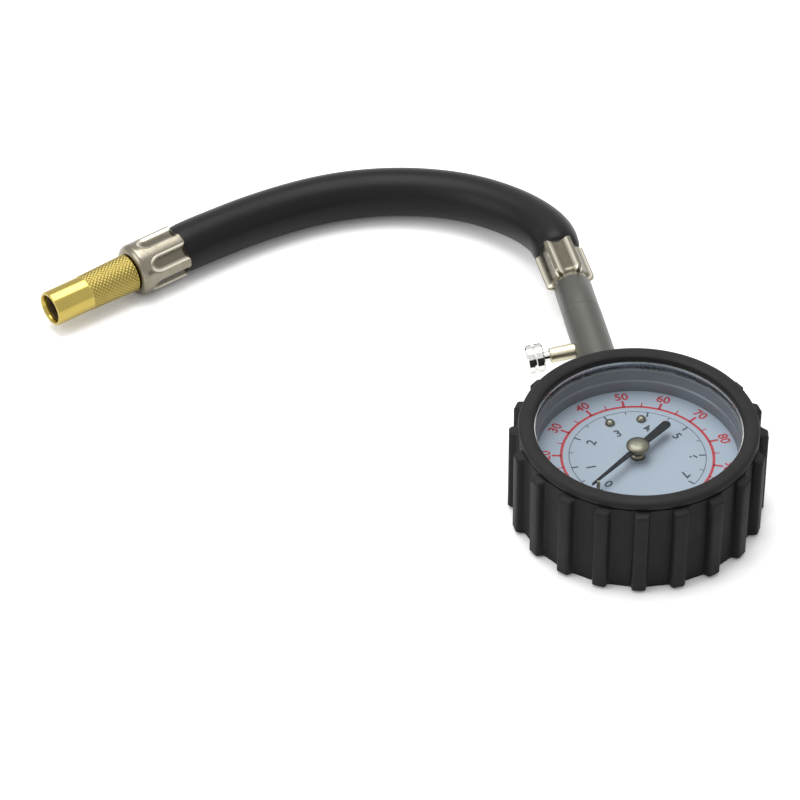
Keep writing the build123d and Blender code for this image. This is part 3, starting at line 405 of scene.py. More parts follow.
def turned(name: str, outline: Outline, steps: int = 96, capped: bool = False) -> bpy.types.Object:
    """Turn an outline about Z by extruding a ring from point to point.

    Args:
        name: The piece's name.
        outline: Points as (radius, distance), in mm. A closed ring ends where it starts.
        steps: Vertices round the ring.
        capped: Fill the two end rings.

    Returns:
        The turned piece.
    """
    deselect_all()
    bpy.ops.mesh.primitive_circle_add(
        vertices=steps, radius=outline[0][0] * MM, location=(0, 0, 0), fill_type="NOTHING"
    )
    piece = bpy.context.object
    piece.name = name
    bpy.ops.object.mode_set(mode="EDIT")
    bpy.ops.mesh.select_all(action="SELECT")
    bpy.ops.transform.translate(value=(0, 0, outline[0][1] * MM))
    for (ra, da), (rb, db) in zip(outline[:-1], outline[1:]):
        bpy.ops.mesh.extrude_edges_move(TRANSFORM_OT_translate={"value": (0, 0, (db - da) * MM)})
        bpy.ops.transform.resize(value=(rb / ra, rb / ra, 1), center_override=(0, 0, 0))
    bpy.ops.mesh.select_all(action="SELECT")
    bpy.ops.mesh.remove_doubles(threshold=1e-7)
    if capped:
        bpy.ops.mesh.select_all(action="DESELECT")
        bpy.ops.mesh.select_non_manifold()
        bpy.ops.mesh.edge_face_add()
    bpy.ops.mesh.select_all(action="SELECT")
    bpy.ops.mesh.normals_make_consistent(inside=False)
    bpy.ops.object.mode_set(mode="OBJECT")
    return piece


def bevelled(piece: bpy.types.Object, width: float, segments: int = 3, angle: float = 28) -> bpy.types.Object:
    """Round a piece's edges with an applied bevel.

    Args:
        piece: The piece.
        width: Bevel width, in mm.
        segments: Faces across the bevel.
        angle: Only edges sharper than this, in degrees.

    Returns:
        The same piece.
    """
    take(piece)
    modifier = piece.modifiers.new("edges", "BEVEL")
    modifier.width = width * MM
    modifier.segments = segments
    modifier.limit_method = "ANGLE"
    modifier.angle_limit = math.radians(angle)
    modifier.harden_normals = False
    bpy.ops.object.modifier_apply(modifier=modifier.name)
    return piece


def marked(piece: bpy.types.Object, share: Callable[[Vector], float]) -> list[float]:
    """Keep how deep each point lies in a pressed pattern, for the finish's painted light and shade.

    Args:
        piece: The piece, about its own Z axis.
        share: How deep a point lies, from its place in mm.

    Returns:
        The depth of every vertex, 0 to 1.
    """
    depths = [min(max(share(vertex.co / MM), 0.0), 1.0) for vertex in piece.data.vertices]
    layer = piece.data.attributes.get("press") or piece.data.attributes.new("press", "FLOAT", "POINT")
    for mark, depth in zip(layer.data, depths):
        mark.value = max(mark.value, depth)
    return depths


def pressed(
    piece: bpy.types.Object, depth: float, share: Callable[[Vector], float], title: str = "pressed"
) -> bpy.types.Object:
    """Press part of a surface in along its normals.

    Args:
        piece: The piece, about its own Z axis.
        depth: Depth in mm where the share is 1.
        share: How much of the depth a point takes, from its place in mm.
        title: Name for the vertex group.

    Returns:
        The same piece.
    """
    take(piece)
    group = piece.vertex_groups.new(name=title)
    for vertex, amount in zip(piece.data.vertices, marked(piece, share)):
        if amount > 0:
            group.add([vertex.index], amount, "REPLACE")
    modifier = piece.modifiers.new(title, "DISPLACE")
    modifier.direction = "NORMAL"
    modifier.mid_level = 0.0
    modifier.strength = -depth * MM
    modifier.vertex_group = title
    bpy.ops.object.modifier_apply(modifier=modifier.name)
    piece.vertex_groups.clear()
    return piece


def joined(name: str, pieces: list[bpy.types.Object]) -> bpy.types.Object:
    """Join several pieces to one.

    Args:
        name: The joined piece's name.
        pieces: The pieces, of which the first takes the others.

    Returns:
        The joined piece.
    """
    take(pieces[0])
    for piece in pieces:
        piece.select_set(True)
    bpy.ops.object.join()
    pieces[0].name = name
    return pieces[0]


def settle(piece: bpy.types.Object, place: Matrix | None = None, smooth: float = 32) -> bpy.types.Object:
    """Put a piece at its place in the mesh itself, with its object at the origin, and shade it.

    Args:
        piece: The piece, about its own Z axis.
        place: Where its axis lies, in metres.
        smooth: Edges flatter than this angle are shaded smooth, in degrees.

    Returns:
        The same piece.
    """
    take(piece)
    if place is not None:
        piece.matrix_world = place @ piece.matrix_world
    bpy.ops.object.transform_apply(location=True, rotation=True, scale=True)
    bpy.ops.object.shade_smooth_by_angle(angle=math.radians(smooth))
    return piece


def along(origin: Vector, direction: Vector) -> Matrix:
    """Place for a turned piece.

    Args:
        origin: The axis's start, in mm.
        direction: Where the piece's Z axis points.

    Returns:
        The place in metres, with the piece's X kept as close to upwards as it goes.
    """
    z = direction.normalized()
    x = Vector((0, 0, 1)) - z * z.z if abs(z.z) < 0.99 else Vector((1, 0, 0))
    x.normalize()
    y = z.cross(x)
    turn = Matrix((x, y, z)).transposed().to_4x4()
    return Matrix.Translation(origin * MM) @ turn


def dress(piece: bpy.types.Object, finish: Finish | ClearLens) -> bpy.types.Object:
    """Give a piece one finish all over.

    Args:
        piece: The piece.
        finish: Its finish.

    Returns:
        The same piece.
    """
    piece.data.materials.clear()
    piece.data.materials.append(finish.build())
    return piece


def dress_part(piece: bpy.types.Object, finish: Finish, belongs: Callable[[Vector], bool]) -> None:
    """Give some faces of a piece another finish.

    Args:
        piece: The piece, which has its main finish already.
        finish: The finish for the faces.
        belongs: Tells from a face's centre, in mm, whether it takes the finish.
    """
    piece.data.materials.append(finish.build())
    for face in piece.data.polygons:
        if belongs(face.center / MM):
            face.material_index = len(piece.data.materials) - 1


def hand_over(piece: bpy.types.Object, body: str, nodes: tuple[str, ...] = ()) -> bpy.types.Object:
    """Ride a piece on its body and the nodes that it stands for.

    Args:
        piece: The finished piece.
        body: The CAD body that it moves with.
        nodes: CAD nodes that it replaces.

    Returns:
        The same piece.
    """
    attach(piece, body)
    if nodes:
        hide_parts(*nodes)
    log.info("%s on %s, %d faces", piece.name, body, len(piece.data.polygons) if piece.type == "MESH" else 0)
    return piece


# The hose's run: its first and last directions are the axes of the two fittings

HOSE_ROUTE = (
    (-0.4, 95.0, 12.0), (-0.75, 102.6, 12.0), (-0.84, 104.6, 12.0), (-1.3, 114.5, 12.0), (-9.0, 128.6, 10.6),
    (-23.2, 141.9, 9.2), (-43.4, 149.8, 8.3), (-65.2, 150.8, 8.0), (-87.8, 144.9, 8.1), (-108.8, 135.5, 8.4),
    (-115.0, 132.3, 8.4), (-116.9, 131.3, 8.4), (-123.5, 127.9, 8.4),
)
HOSE_GIRTH = (0.62, 0.66, 0.97, 1.0, 1.0, 1.0, 1.0, 1.0, 1.0, 1.0, 0.99, 0.86, 0.8)
NEAR_RUN = Vector((-0.9, 19.5, 0)).normalized()
FAR_RUN = Vector((-14.7, -7.6, 0)).normalized()
INSERTION = 8.5


# Sub-assemblies


@dataclass
class Boot:
    """Ribbed rubber boot with a rolled lip."""

    ribs: int = 20
    rib_turn: float = 6.5
    stem_hole: float = 5.95
    stem_height: float = 12.0
    foot: float = 0.02
    rib_spans: int = 5
    spans: int = 12
    valley: float = 34.3
    rib_height: float = 2.46
    edge: float = 0.7
    rib_inset: float = 0.65
    valley_sag: float = 0.35
    side_top: float = 28.6
    ring: float = 34.2
    height: float = 31.3
    lip: float = 29.6
    cavity: float = 31.4

    def outline(self) -> Outline:
        """Outline from the cavity's floor round the lip and down the outside to the base.

        Returns:
            Points as (radius, distance), in mm.
        """
        return [
            (1.0, 2.0), (29.6, 2.0), (30.8, 3.2), (30.8, 23.0), (self.cavity, 23.0), (self.cavity, 29.0),
            (31.0, 29.4), (self.lip, 29.4), (self.lip, 30.2), (self.lip + 0.25, 30.85),
            (self.lip + 0.9, 31.22), (self.lip + 1.6, self.height),
            (self.ring - 1.5, self.height), (self.ring - 0.7, 31.12),
            (self.ring - 0.2, 30.7), (self.ring, 30.1), (self.ring, 29.35), (self.ring - 0.2, 29.1),
            (33.55, 28.98), (33.45, 28.75), (33.55, 28.6), (self.valley, self.side_top),
            (self.valley, self.foot), (1.0, self.foot),
        ]

    def build(self) -> bpy.types.Object:
        """Build the boot: a turned cup whose side faces are inset and raised into ribs.

        Returns:
            The boot.
        """
        boot = turned("rubber_boot_skin", self.outline(), self.ribs * self.spans, capped=True)
        take(boot)
        bpy.ops.object.mode_set(mode="EDIT")
        bpy.ops.mesh.select_mode(type="VERT")
        for step in range(1, 4):
            sag = self.valley_sag * math.sin(math.pi * step / 7)
            self.select_side(boot, {self.rib_spans + step, self.spans - step})
            scale = (self.valley - sag) / self.valley
            bpy.ops.transform.resize(value=(scale, scale, 1), center_override=(0, 0, 0))
        bpy.ops.mesh.select_mode(type="FACE")
        self.select_ribs(boot)
        bpy.ops.mesh.inset(thickness=self.rib_inset * MM, depth=self.rib_height * MM, use_even_offset=False)
        bpy.ops.mesh.select_mode(type="EDGE")
        self.select_edges(boot, 36.0, 0.0, 12.0)
        bpy.ops.mesh.dissolve_edges(use_verts=True)
        self.select_edges(boot, self.valley - 0.2, 30.0, 180.0)
        bpy.ops.mesh.bevel(offset=self.edge * MM, segments=4, affect="EDGES", clamp_overlap=False)
        bpy.ops.mesh.select_mode(type="VERT")
        bpy.ops.object.mode_set(mode="OBJECT")
        bevelled(boot, 0.3, 3, 30)
        self.open_for_stem(boot)
        settle(boot, Matrix.Rotation(self.spin(), 4, "Z"))
        return dress(boot, BOOT_RUBBER)

    def spin(self) -> float:
        """Turn that brings the middle of the first rib to its angle, in radians."""
        return math.radians(self.rib_turn - 180 / self.ribs * self.rib_spans / self.spans)

    def select_side(self, boot: bpy.types.Object, steps: set[int]) -> None:
        """Select the vertices of the outer side at some steps of each rib's period.

        Args:
            boot: The boot in edit mode.
            steps: Positions within the period.
        """
        count = self.ribs * self.spans

        def wanted(vertex: bpy.types.MeshVertex) -> bool:
            """Tell whether a vertex stands on the side at one of the steps.

            Args:
                vertex: A vertex of the boot.

            Returns:
                True where it is selected.
            """
            x, y, z = vertex.co / MM
            step = round(math.degrees(math.atan2(y, x)) / 360 * count) % self.spans
            return math.hypot(x, y) > self.valley - 0.6 and z < self.side_top + 0.01 and step in steps

        choose(boot, "vertices", wanted)

    def select_ribs(self, boot: bpy.types.Object) -> None:
        """Select the side faces that become ribs.

        Args:
            boot: The boot in edit mode.
        """
        count = self.ribs * self.spans

        def wanted(face: bpy.types.MeshPolygon) -> bool:
            """Tell from a face's place and normal whether it lies on a rib.

            Args:
                face: A face of the boot.

            Returns:
                True where it is selected.
            """
            x, y, z = face.center / MM
            span = int(math.degrees(math.atan2(y, x)) % 360 / 360 * count) % self.spans
            side = math.hypot(x, y) > self.valley - 0.5 and abs(face.normal.z) < 0.2 and 1 < z < self.side_top
            return side and span < self.rib_spans

        choose(boot, "polygons", wanted)

    def select_edges(self, boot: bpy.types.Object, inner: float, least: float, most: float) -> None:
        """Select the upright side's edges by their place and by the angle between their faces.

        Args:
            boot: The boot in edit mode.
            inner: Smallest radius of both ends, in mm.
            least: Smallest angle between the faces, in degrees.
            most: Largest angle between the faces, in degrees.
        """
        bpy.ops.object.mode_set(mode="OBJECT")
        mesh = boot.data
        normals: dict[tuple[int, int], list[Vector]] = {}
        for face in mesh.polygons:
            for key in face.edge_keys:
                normals.setdefault(key, []).append(face.normal.copy())
        bpy.ops.object.mode_set(mode="EDIT")

        def wanted(edge: bpy.types.MeshEdge) -> bool:
            """Tell whether an edge lies on the side and folds by the right angle.

            Args:
                edge: An edge of the boot.

            Returns:
                True where it is selected.
            """
            ends = [mesh.vertices[i].co / MM for i in edge.vertices]
            sides = normals.get(tuple(sorted(edge.vertices)), [])
            placed = all(math.hypot(p.x, p.y) > inner and p.z < self.side_top + 0.01 for p in ends)
            on_ring = all(p.z > self.side_top - 0.01 for p in ends)
            if not placed or on_ring or len(sides) != 2:
                return False
            return least <= math.degrees(sides[0].angle(sides[1])) <= most

        choose(boot, "edges", wanted)

    def open_for_stem(self, boot: bpy.types.Object) -> None:
        """Cut the hole that the stem leaves through.

        Args:
            boot: The boot, not yet turned to its place.
        """
        deselect_all()
        bpy.ops.mesh.primitive_cylinder_add(
            vertices=48, radius=self.stem_hole * MM, depth=20 * MM, rotation=(math.pi / 2, 0, 0),
            location=(0, 34 * MM, self.stem_height * MM),
        )
        cutter = bpy.context.object
        cutter.matrix_world = Matrix.Rotation(-self.spin(), 4, "Z") @ cutter.matrix_world
        take(boot)
        modifier = boot.modifiers.new("stem_hole", "BOOLEAN")
        modifier.operation = "DIFFERENCE"
        modifier.object = cutter
        bpy.ops.object.modifier_apply(modifier=modifier.name)
        bpy.data.objects.remove(cutter, do_unlink=True)


@dataclass
class DialFace:
    """Dial plate's print, screws and the small turned pieces round them."""

    top: float = 18.8
    turn: float = 2.5
    psi_arc: float = 21.7
    psi_digits: float = 26.1
    bar_arc: float = 19.5
    bar_places: tuple[tuple[float, float], ...] = (
        (-10.5, -9.8), (-13.8, -2.0), (-11.5, 8.2), (-3.3, 10.6),
        (5.3, 11.3), (13.0, 6.5), (15.2, -3.0), (11.4, -10.0),
    )
    bold: float = 0.09
    lift: float = 0.02
    plate_radius: float = 29.9
    plate_bottom: float = 18.3
    screw_places: tuple[tuple[float, float], ...] = ((-4.6, 15.3), (4.6, 15.3))
    marks: dict[str, list[bpy.types.Object]] = field(default_factory=lambda: {"red": [], "black": []})

    def angle(self, share: float) -> float:
        """Angle of a share of the 270 degree scale, in degrees from +X, turned with the dial."""
        return 225 - self.turn - 270 * share

    def ring_part(self, ink: str, inner: float, outer: float) -> None:
        """Print an arc band over the whole scale.

        Args:
            ink: Which ink it is printed in.
            inner: Inner radius, in mm.
            outer: Outer radius, in mm.
        """
        deselect_all()
        bpy.ops.mesh.primitive_circle_add(vertices=360, radius=inner * MM, fill_type="NOTHING")
        band = bpy.context.object
        bpy.ops.object.mode_set(mode="EDIT")
        bpy.ops.mesh.extrude_edges_move(TRANSFORM_OT_translate={"value": (0, 0, 0)})
        bpy.ops.transform.resize(value=(outer / inner, outer / inner, 1), center_override=(0, 0, 0))
        bpy.ops.mesh.select_mode(type="FACE")
        choose(
            band, "polygons",
            lambda face: (self.angle(0) - math.degrees(math.atan2(face.center.y, face.center.x))) % 360 > 270,
        )
        bpy.ops.mesh.delete(type="FACE")
        bpy.ops.mesh.select_mode(type="VERT")
        bpy.ops.object.mode_set(mode="OBJECT")
        self.marks[ink].append(band)

    def tick(self, ink: str, share: float, inner: float, outer: float, width: float) -> None:
        """Print a tick.

        Args:
            ink: Which ink it is printed in.
            share: Place on the scale, 0 to 1.
            inner: Inner radius, in mm.
            outer: Outer radius, in mm.
            width: Width, in mm.
        """
        deselect_all()
        bpy.ops.mesh.primitive_plane_add(size=1)
        mark = bpy.context.object
        turn = Matrix.Rotation(math.radians(self.angle(share)), 4, "Z")
        middle = Matrix.Translation(((inner + outer) / 2 * MM, 0, 0))
        mark.matrix_world = turn @ middle @ Matrix.Diagonal(((outer - inner) * MM, width * MM, 1, 1))
        self.marks[ink].append(mark)

    def number(self, ink: str, text: str, share: float, place: tuple[float, float], height: float) -> None:
        """Print a bold number upright to the dial's radius.

        Args:
            ink: Which ink it is printed in.
            text: The number.
            share: Place on the scale, 0 to 1.
            place: The number's middle on the dial, in mm.
            height: Letter height, in mm.
        """
        deselect_all()
        bpy.ops.object.text_add()
        label = bpy.context.object
        label.data.body = text
        label.data.align_x = "CENTER"
        label.data.align_y = "CENTER"
        label.data.size = height * 1.4 * MM
        label.data.offset = self.bold * MM
        bpy.ops.object.convert(target="MESH")
        label = bpy.context.object
        spin = math.radians(self.angle(share))
        label.matrix_world = (
            Matrix.Translation((place[0] * MM, place[1] * MM, 0))
            @ Matrix.Rotation(spin - math.pi / 2, 4, "Z")
        )
        self.marks[ink].append(label)

    def print_scales(self) -> None:
        """Print both scales and join each ink to one piece."""
        self.ring_part("red", self.psi_arc - 0.4, self.psi_arc + 0.4)
        for value in range(0, 101, 5):
            major = value % 10 == 0
            reach, width = (2.7, 0.75) if major else (1.8, 0.38)
            self.tick("red", value / 100, self.psi_arc, self.psi_arc + reach, width)
            if major:
                spin = math.radians(self.angle(value / 100))
                place = (self.psi_digits * math.cos(spin), self.psi_digits * math.sin(spin))
                self.number("red", str(value), value / 100, place, 2.9)
        self.ring_part("black", self.bar_arc - 0.1, self.bar_arc + 0.1)
        for half in range(15):
            share = half / 14
            major = half % 2 == 0
            reach, width = (2.0, 0.5) if major else (1.2, 0.28)
            self.tick("black", share, self.bar_arc - reach, self.bar_arc, width)
            if major:
                self.number("black", str(half // 2), share, self.bar_places[half // 2], 2.8)
        for ink, finish in (("red", RED_INK), ("black", BLACK_INK)):
            for mark in self.marks[ink]:
                take(mark)
                bpy.ops.object.transform_apply(location=True, rotation=True, scale=True)
            sheet = joined(f"dial_print_{ink}", self.marks[ink])
            settle(sheet, Matrix.Translation((0, 0, (self.top + self.lift) * MM)), 5)
            hand_over(dress(sheet, finish), ROOT)

    def build(self) -> None:
        """Build the plate, its print and what stands on it."""
        hole, rim, bottom, top = 2.0, self.plate_radius, self.plate_bottom, self.top
        plate = turned(
            "dial_plate_face", [(hole, bottom), (hole, top), (rim, top), (rim, bottom), (hole, bottom)], 160
        )
        bevelled(plate, 0.08, 1)
        hand_over(dress(settle(plate), DIAL_ENAMEL), ROOT, ("dial_plate",))
        self.print_scales()
        ring = turned(
            "dial_spacer",
            [(28.7, top), (30.0, top), (30.0, 26.0), (29.4, 26.0), (29.4, 22.6), (28.9, 22.2), (28.7, top)],
            160,
        )
        bevelled(ring, 0.1, 2)
        hand_over(dress(settle(ring), RING_ALLOY), ROOT, ("dial_ring",))
        heads = []
        for x, y in self.screw_places:
            head = turned(
                "screw_head",
                [(0.8, 15.6), (0.8, top), (1.45, top), *arc((0.15, top), 1.3, 12, 84, 8), (0.05, 20.1)],
                48, capped=True,
            )
            head.location = (x * MM, y * MM, 0)
            take(head)
            bpy.ops.object.transform_apply(location=True, rotation=True, scale=True)
            heads.append(head)
        screws = joined("dial_screw_heads", heads)
        hand_over(dress(settle(screws, smooth=50), HUB_NICKEL), ROOT, ("dial_screws",))
        bush = turned(
            "arbor_bush_turned",
            [(0.66, 13.0), (1.9, 13.0), (1.9, 19.6), (1.5, 20.0), (0.66, 20.0), (0.66, 13.0)], 64,
        )
        hand_over(dress(settle(bush), HUB_NICKEL), ROOT, ("arbor_bush",))


@dataclass
class Pointer:
    """Domed hub that sits on the CAD pointer."""

    radius: float = 3.35
    seat: float = 22.5
    top: float = 24.2

    def build(self) -> None:
        """Build the domed hub."""
        radius, seat, shoulder = self.radius, self.seat, self.seat + 0.5
        turns = [math.radians(degrees) for degrees in range(8, 89, 8)]
        dome = [(radius * math.cos(a), shoulder + (self.top - seat - 0.5) * math.sin(a)) for a in turns]
        hub = turned(
            "pointer_hub_dome",
            [(0.6, 20.8), (1.7, 20.8), (1.7, seat), (radius - 0.1, seat), (radius, seat + 0.1),
             (radius, shoulder), *dome],
            64, capped=True,
        )
        hand_over(dress(settle(hub, smooth=40), HUB_NICKEL), "pointer", ("pointer_hub",))


@dataclass
class StemGroup:
    """Stem, its upper piece and the bleed valve."""

    height: float = 12.0
    radius: float = 5.85
    joint: float = 72.8
    end: float = 86.2
    channel: float = 2.0
    spigot: float = 4.6
    valve_y: float = 58.0
    droop: float = 6.0
    spring_keep: float = 0.66
    fitting: Vector = field(default_factory=lambda: Vector(HOSE_ROUTE[0]) - NEAR_RUN * 8.8)

    def build(self) -> None:
        """Build the two stem pieces, the valve's sleeve and its button."""
        place = along(Vector((0, 0, self.height)), Vector((0, 1, 0)))
        lower = turned(
            "stem_lower",
            [(4.8, 30.85), (5.5, 30.85), (self.radius, 31.2), (self.radius, 72.62),
             (self.radius - 0.18, self.joint), (self.spigot, self.joint), (self.spigot, 65.2),
             (self.channel, 65.2), (self.channel, 39.0), (4.8, 39.0), (4.8, 30.85)], 96,
        )
        dress(settle(lower, place), GUNMETAL)
        # Painted highlight: the chamfer at the joint takes the lighter screw steel, a bright line between the
        # two stem pieces
        dress_part(lower, SCREW_STEEL, lambda p: p.y > 72.62 and math.hypot(p.x, p.z - self.height) > 5.6)
        hand_over(lower, ROOT, ("stem_body",))
        upper = turned(
            "stem_upper",
            [(1.6, 66.0), (self.spigot, 66.0), (self.spigot, 72.86), (5.6, 72.86), (5.76, 73.05),
             (5.76, 85.9), (5.68, 86.08), (5.5, self.end), (1.6, self.end), (1.6, 66.0)], 96,
        )
        settle(upper, place)
        tail = turned(
            "hose_tail",
            [(1.6, -0.8), (5.3, -0.8), (5.3, 1.8), (5.15, 2.0), (4.2, 2.0), (4.2, 3.1), (4.95, 3.1),
             (4.95, 8.8), (3.9, 8.8), (3.9, 16.7), (1.6, 16.7), (1.6, -0.8)], 96,
        )
        settle(tail, along(self.fitting, NEAR_RUN))
        upper = joined("stem_upper", [upper, tail])
        dress(settle(upper), GUNMETAL)
        dress_part(upper, FERRULE_NICKEL, lambda p: p.y > self.end + 0.05)
        hand_over(upper, ROOT, ("hose_fitting",))
        tilt = math.radians(self.droop)
        side = along(Vector((0, self.valve_y, self.height)), Vector((-math.cos(tilt), 0, -math.sin(tilt))))
        sleeve = turned(
            "bleed_sleeve",
            [(1.5, 4.2), (2.1, 4.2), (2.1, 5.85), (2.3, 5.85), (2.3, 12.9), (1.95, 13.36), (1.5, 13.36),
             (1.5, 4.2)], 64,
        )
        hand_over(dress(settle(sleeve, side), SLEEVE_NICKEL), ROOT, ("valve_sleeve",))
        button = turned(
            "bleed_cap",
            [(0.7, 1.9), (0.7, 9.6), (1.44, 9.6), (1.44, 15.2), (4.0, 15.2), (4.4, 15.6), (4.4, 17.5),
             (4.3, 17.6), (3.75, 17.6), (3.7, 17.7), (3.7, 18.2),
             (3.75, 18.3), (4.3, 18.3), (4.4, 18.4), (4.4, 20.0),
             (3.95, 20.44), (0.4, 20.5)], 80, capped=True,
        )
        dress(settle(button, side), VALVE_CHROME)
        hand_over(button, "bleed_button", ("bleed_button",))
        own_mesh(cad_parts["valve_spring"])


@dataclass
class Ferrule:
    """Crimped ferrule with six pressed flutes, made from its hose end along Z.

    Attributes:
        name: The piece's name.
        node: The CAD node that it replaces.
        origin: Middle of its hose end.
        direction: Where it points from there.
        ridge: Radius between the flutes.
        length: Length along its axis.
        depth: Depth of the flutes.
        cutter: Radius of the jaws that press them.
        flute_stop: Where the flutes begin to run out.
        shoulder: Rounding at the far end.
        neck: Radius of the far end's hole.
        turn: Angle of the first flute, in degrees.
        bore: Radius inside.
        columns: Vertices round it.
    """

    name: str
    node: str
    origin: Vector
    direction: Vector
    ridge: float
    length: float
    depth: float
    cutter: float
    flute_stop: float
    shoulder: float
    neck: float
    turn: float
    bore: float
    columns: int = 216

    def dip(self, point: Vector) -> float:
        """How deep a point of the skin is pressed in by its nearest flute.

        Args:
            point: Place about the ferrule's axis, in mm, from the hose's end.

        Returns:
            From 0 on a ridge to 1 on a flute's floor.
        """
        if math.hypot(point.x, point.y) < self.bore + 0.1:
            return 0.0
        angle = math.radians((math.degrees(math.atan2(point.y, point.x)) - self.turn + 30) % 60 - 30)
        middle = self.ridge - self.depth + self.cutter
        past = max(0.0, point.z - self.flute_stop)
        inside = self.cutter ** 2 - past ** 2 - (middle * math.sin(angle)) ** 2
        if inside <= 0:
            return 0.0
        depth = self.ridge - middle * math.cos(angle) + math.sqrt(inside)
        return max(depth, 0.0) / self.depth

    def build(self) -> bpy.types.Object:
        """Build the ferrule.

        Returns:
            The ferrule.
        """
        end, soft = self.length, self.shoulder
        skin = spaced(
            [(self.bore + 0.15, 0.0), (self.ridge - 0.2, 0.0), (self.ridge - 0.05, 0.06), (self.ridge, 0.25),
             (self.ridge, end - soft), *arc((self.ridge - soft, end - soft), soft, 8, 90, 10)], 0.28,
        )
        inside = [(self.neck, end), (self.neck, end - 1.0), (self.bore, end - 1.0), (self.bore, 0.0),
                  (self.bore + 0.15, 0.0)]
        ferrule = turned(self.name, skin + inside, self.columns)
        if self.flute_stop < end:
            pressed(ferrule, self.depth, self.dip)
        else:
            self.squeeze(ferrule)
        settle(ferrule, along(self.origin, self.direction), 40)
        return hand_over(dress(ferrule, FERRULE_NICKEL), ROOT, (self.node,))

    def squeeze(self, ferrule: bpy.types.Object) -> None:
        """Press full-length flutes by scaling the skin's columns towards the axis, like columns together.

        Args:
            ferrule: The plain turned ferrule.
        """
        marked(ferrule, self.dip)
        take(ferrule)
        bpy.ops.object.mode_set(mode="EDIT")
        bpy.ops.mesh.select_mode(type="VERT")
        half = self.columns // 12
        for step in range(half + 1):

            def wanted(vertex: bpy.types.MeshVertex, step: int = step) -> bool:
                """Tell whether a vertex is of the skin and this many columns from a flute's middle.

                Args:
                    vertex: A vertex of the ferrule.
                    step: Columns from the flute's middle.

                Returns:
                    True where it is selected.
                """
                x, y, _ = vertex.co / MM
                column = round((math.degrees(math.atan2(y, x)) - self.turn) / 360 * self.columns) % (2 * half)
                return min(column, 2 * half - column) == step and math.hypot(x, y) > self.bore + 0.1

            choose(ferrule, "vertices", wanted)
            spin = math.radians(self.turn + step * 360 / self.columns)
            on_ridge = Vector((self.ridge * math.cos(spin), self.ridge * math.sin(spin), 0))
            scale = 1 - self.dip(on_ridge) * self.depth / self.ridge
            bpy.ops.transform.resize(value=(scale, scale, 1), center_override=(0, 0, 0))
        bpy.ops.mesh.select_all(action="SELECT")
        bpy.ops.mesh.normals_make_consistent(inside=False)
        bpy.ops.object.mode_set(mode="OBJECT")


@dataclass
class Chuck:
    """Knurled brass sleeve that screws on a tyre valve."""

    origin: Vector
    direction: Vector
    back: float = 17.6
    knurl_end: float = 34.1
    mouth: float = 46.8
    back_radius: float = 6.1
    front_radius: float = 5.7
    smooth_radius: float = 5.5
    thread_radius: float = 3.9
    diamonds: int = 28
    knurl_depth: float = 0.27
    knurl_lead: float = 37.0
    thread_pitch: float = 0.8
    thread_height: float = 0.25

    def knurl(self, point: Vector) -> float:
        """Share of the knurl's depth: valleys of two crossed sets of grooves.

        Args:
            point: Place about the sleeve's axis, in mm.

        Returns:
            From 0 on a crest to 1 in a valley.
        """
        outside = math.hypot(point.x, point.y) >= self.smooth_radius + 0.1
        if not (outside and self.back + 0.3 < point.z < self.knurl_end - 0.2):
            return 0.0
        round_share = math.atan2(point.y, point.x) / (2 * math.pi) * self.diamonds
        slide = point.z / self.knurl_lead * self.diamonds
        crest = 1.0
        for sign in (-1, 1):
            phase = (round_share + sign * slide) % 1.0
            crest = min(crest, 1 - abs(2 * phase - 1))
        return 1 - crest

    def thread(self, point: Vector) -> float:
        """Share of the thread's depth on the wall of the mouth.

        Args:
            point: Place about the sleeve's axis, in mm.

        Returns:
            From 0 in a groove to 1 on a crest.
        """
        radius = math.hypot(point.x, point.y)
        if abs(radius - self.thread_radius) > 0.05 or not 36.6 < point.z < 45.0:
            return 0.0
        phase = (math.atan2(point.y, point.x) / (2 * math.pi) + point.z / self.thread_pitch) % 1.0
        return 1 - abs(2 * phase - 1)

    def reach(self, place: Vector) -> tuple[float, float]:
        """Measure where a place lies about the sleeve's axis.

        Args:
            place: The place, in mm.

        Returns:
            Distance along the axis and radius, in mm.
        """
        axis = self.direction.normalized()
        arm = place - self.origin
        distance = arm.dot(axis)
        return distance, (arm - axis * distance).length

    def on_knurl(self, place: Vector) -> bool:
        """Tell whether a place lies on the knurled outside."""
        distance, radius = self.reach(place)
        return radius > self.smooth_radius - 0.3 and distance < self.knurl_end + 0.1

    def in_mouth(self, place: Vector) -> bool:
        """Tell whether a place lies on the threaded inside."""
        distance, radius = self.reach(place)
        return radius < self.thread_radius + 0.55 and distance > self.knurl_end

    def build(self) -> bpy.types.Object:
        """Build the sleeve.

        Returns:
            The sleeve.
        """
        back, knurl_end, smooth, mouth = self.back, self.knurl_end, self.smooth_radius, self.mouth
        knurled = spaced([(self.back_radius, back + 0.3), (self.front_radius, knurl_end - 0.1)], 0.16)
        threaded = spaced([(self.thread_radius, 45.2), (self.thread_radius, 36.4)], 0.16)
        outline = [
            (2.66, back), (self.back_radius - 0.3, back), *knurled, (smooth + 0.05, knurl_end),
            (smooth, knurl_end + 0.15), (smooth, mouth - 0.4), (smooth - 0.1, mouth - 0.2),
            (smooth - 0.25, mouth - 0.08), (smooth - 0.45, mouth),
            (4.72, mouth), (4.6, mouth - 0.1), (4.4, 45.2),
            *threaded, (4.1, 36.4), (4.1, 31.0), (2.66, 31.0), (2.66, back),
        ]
        sleeve = turned("chuck_sleeve_turned", outline, 276)
        pressed(sleeve, self.knurl_depth, self.knurl, "knurl")
        pressed(sleeve, -self.thread_height, self.thread, "thread")
        settle(sleeve, along(self.origin, self.direction), 50)
        dress(sleeve, POLISHED_BRASS)
        dress_part(sleeve, KNURLED_BRASS, self.on_knurl)
        # Painted shade: the threaded inside of the mouth is darkened to a brown brass
        dress_part(sleeve, MOUTH_PAINTED_SHADE, self.in_mouth)
        return hand_over(sleeve, "chuck", ("chuck_sleeve",))


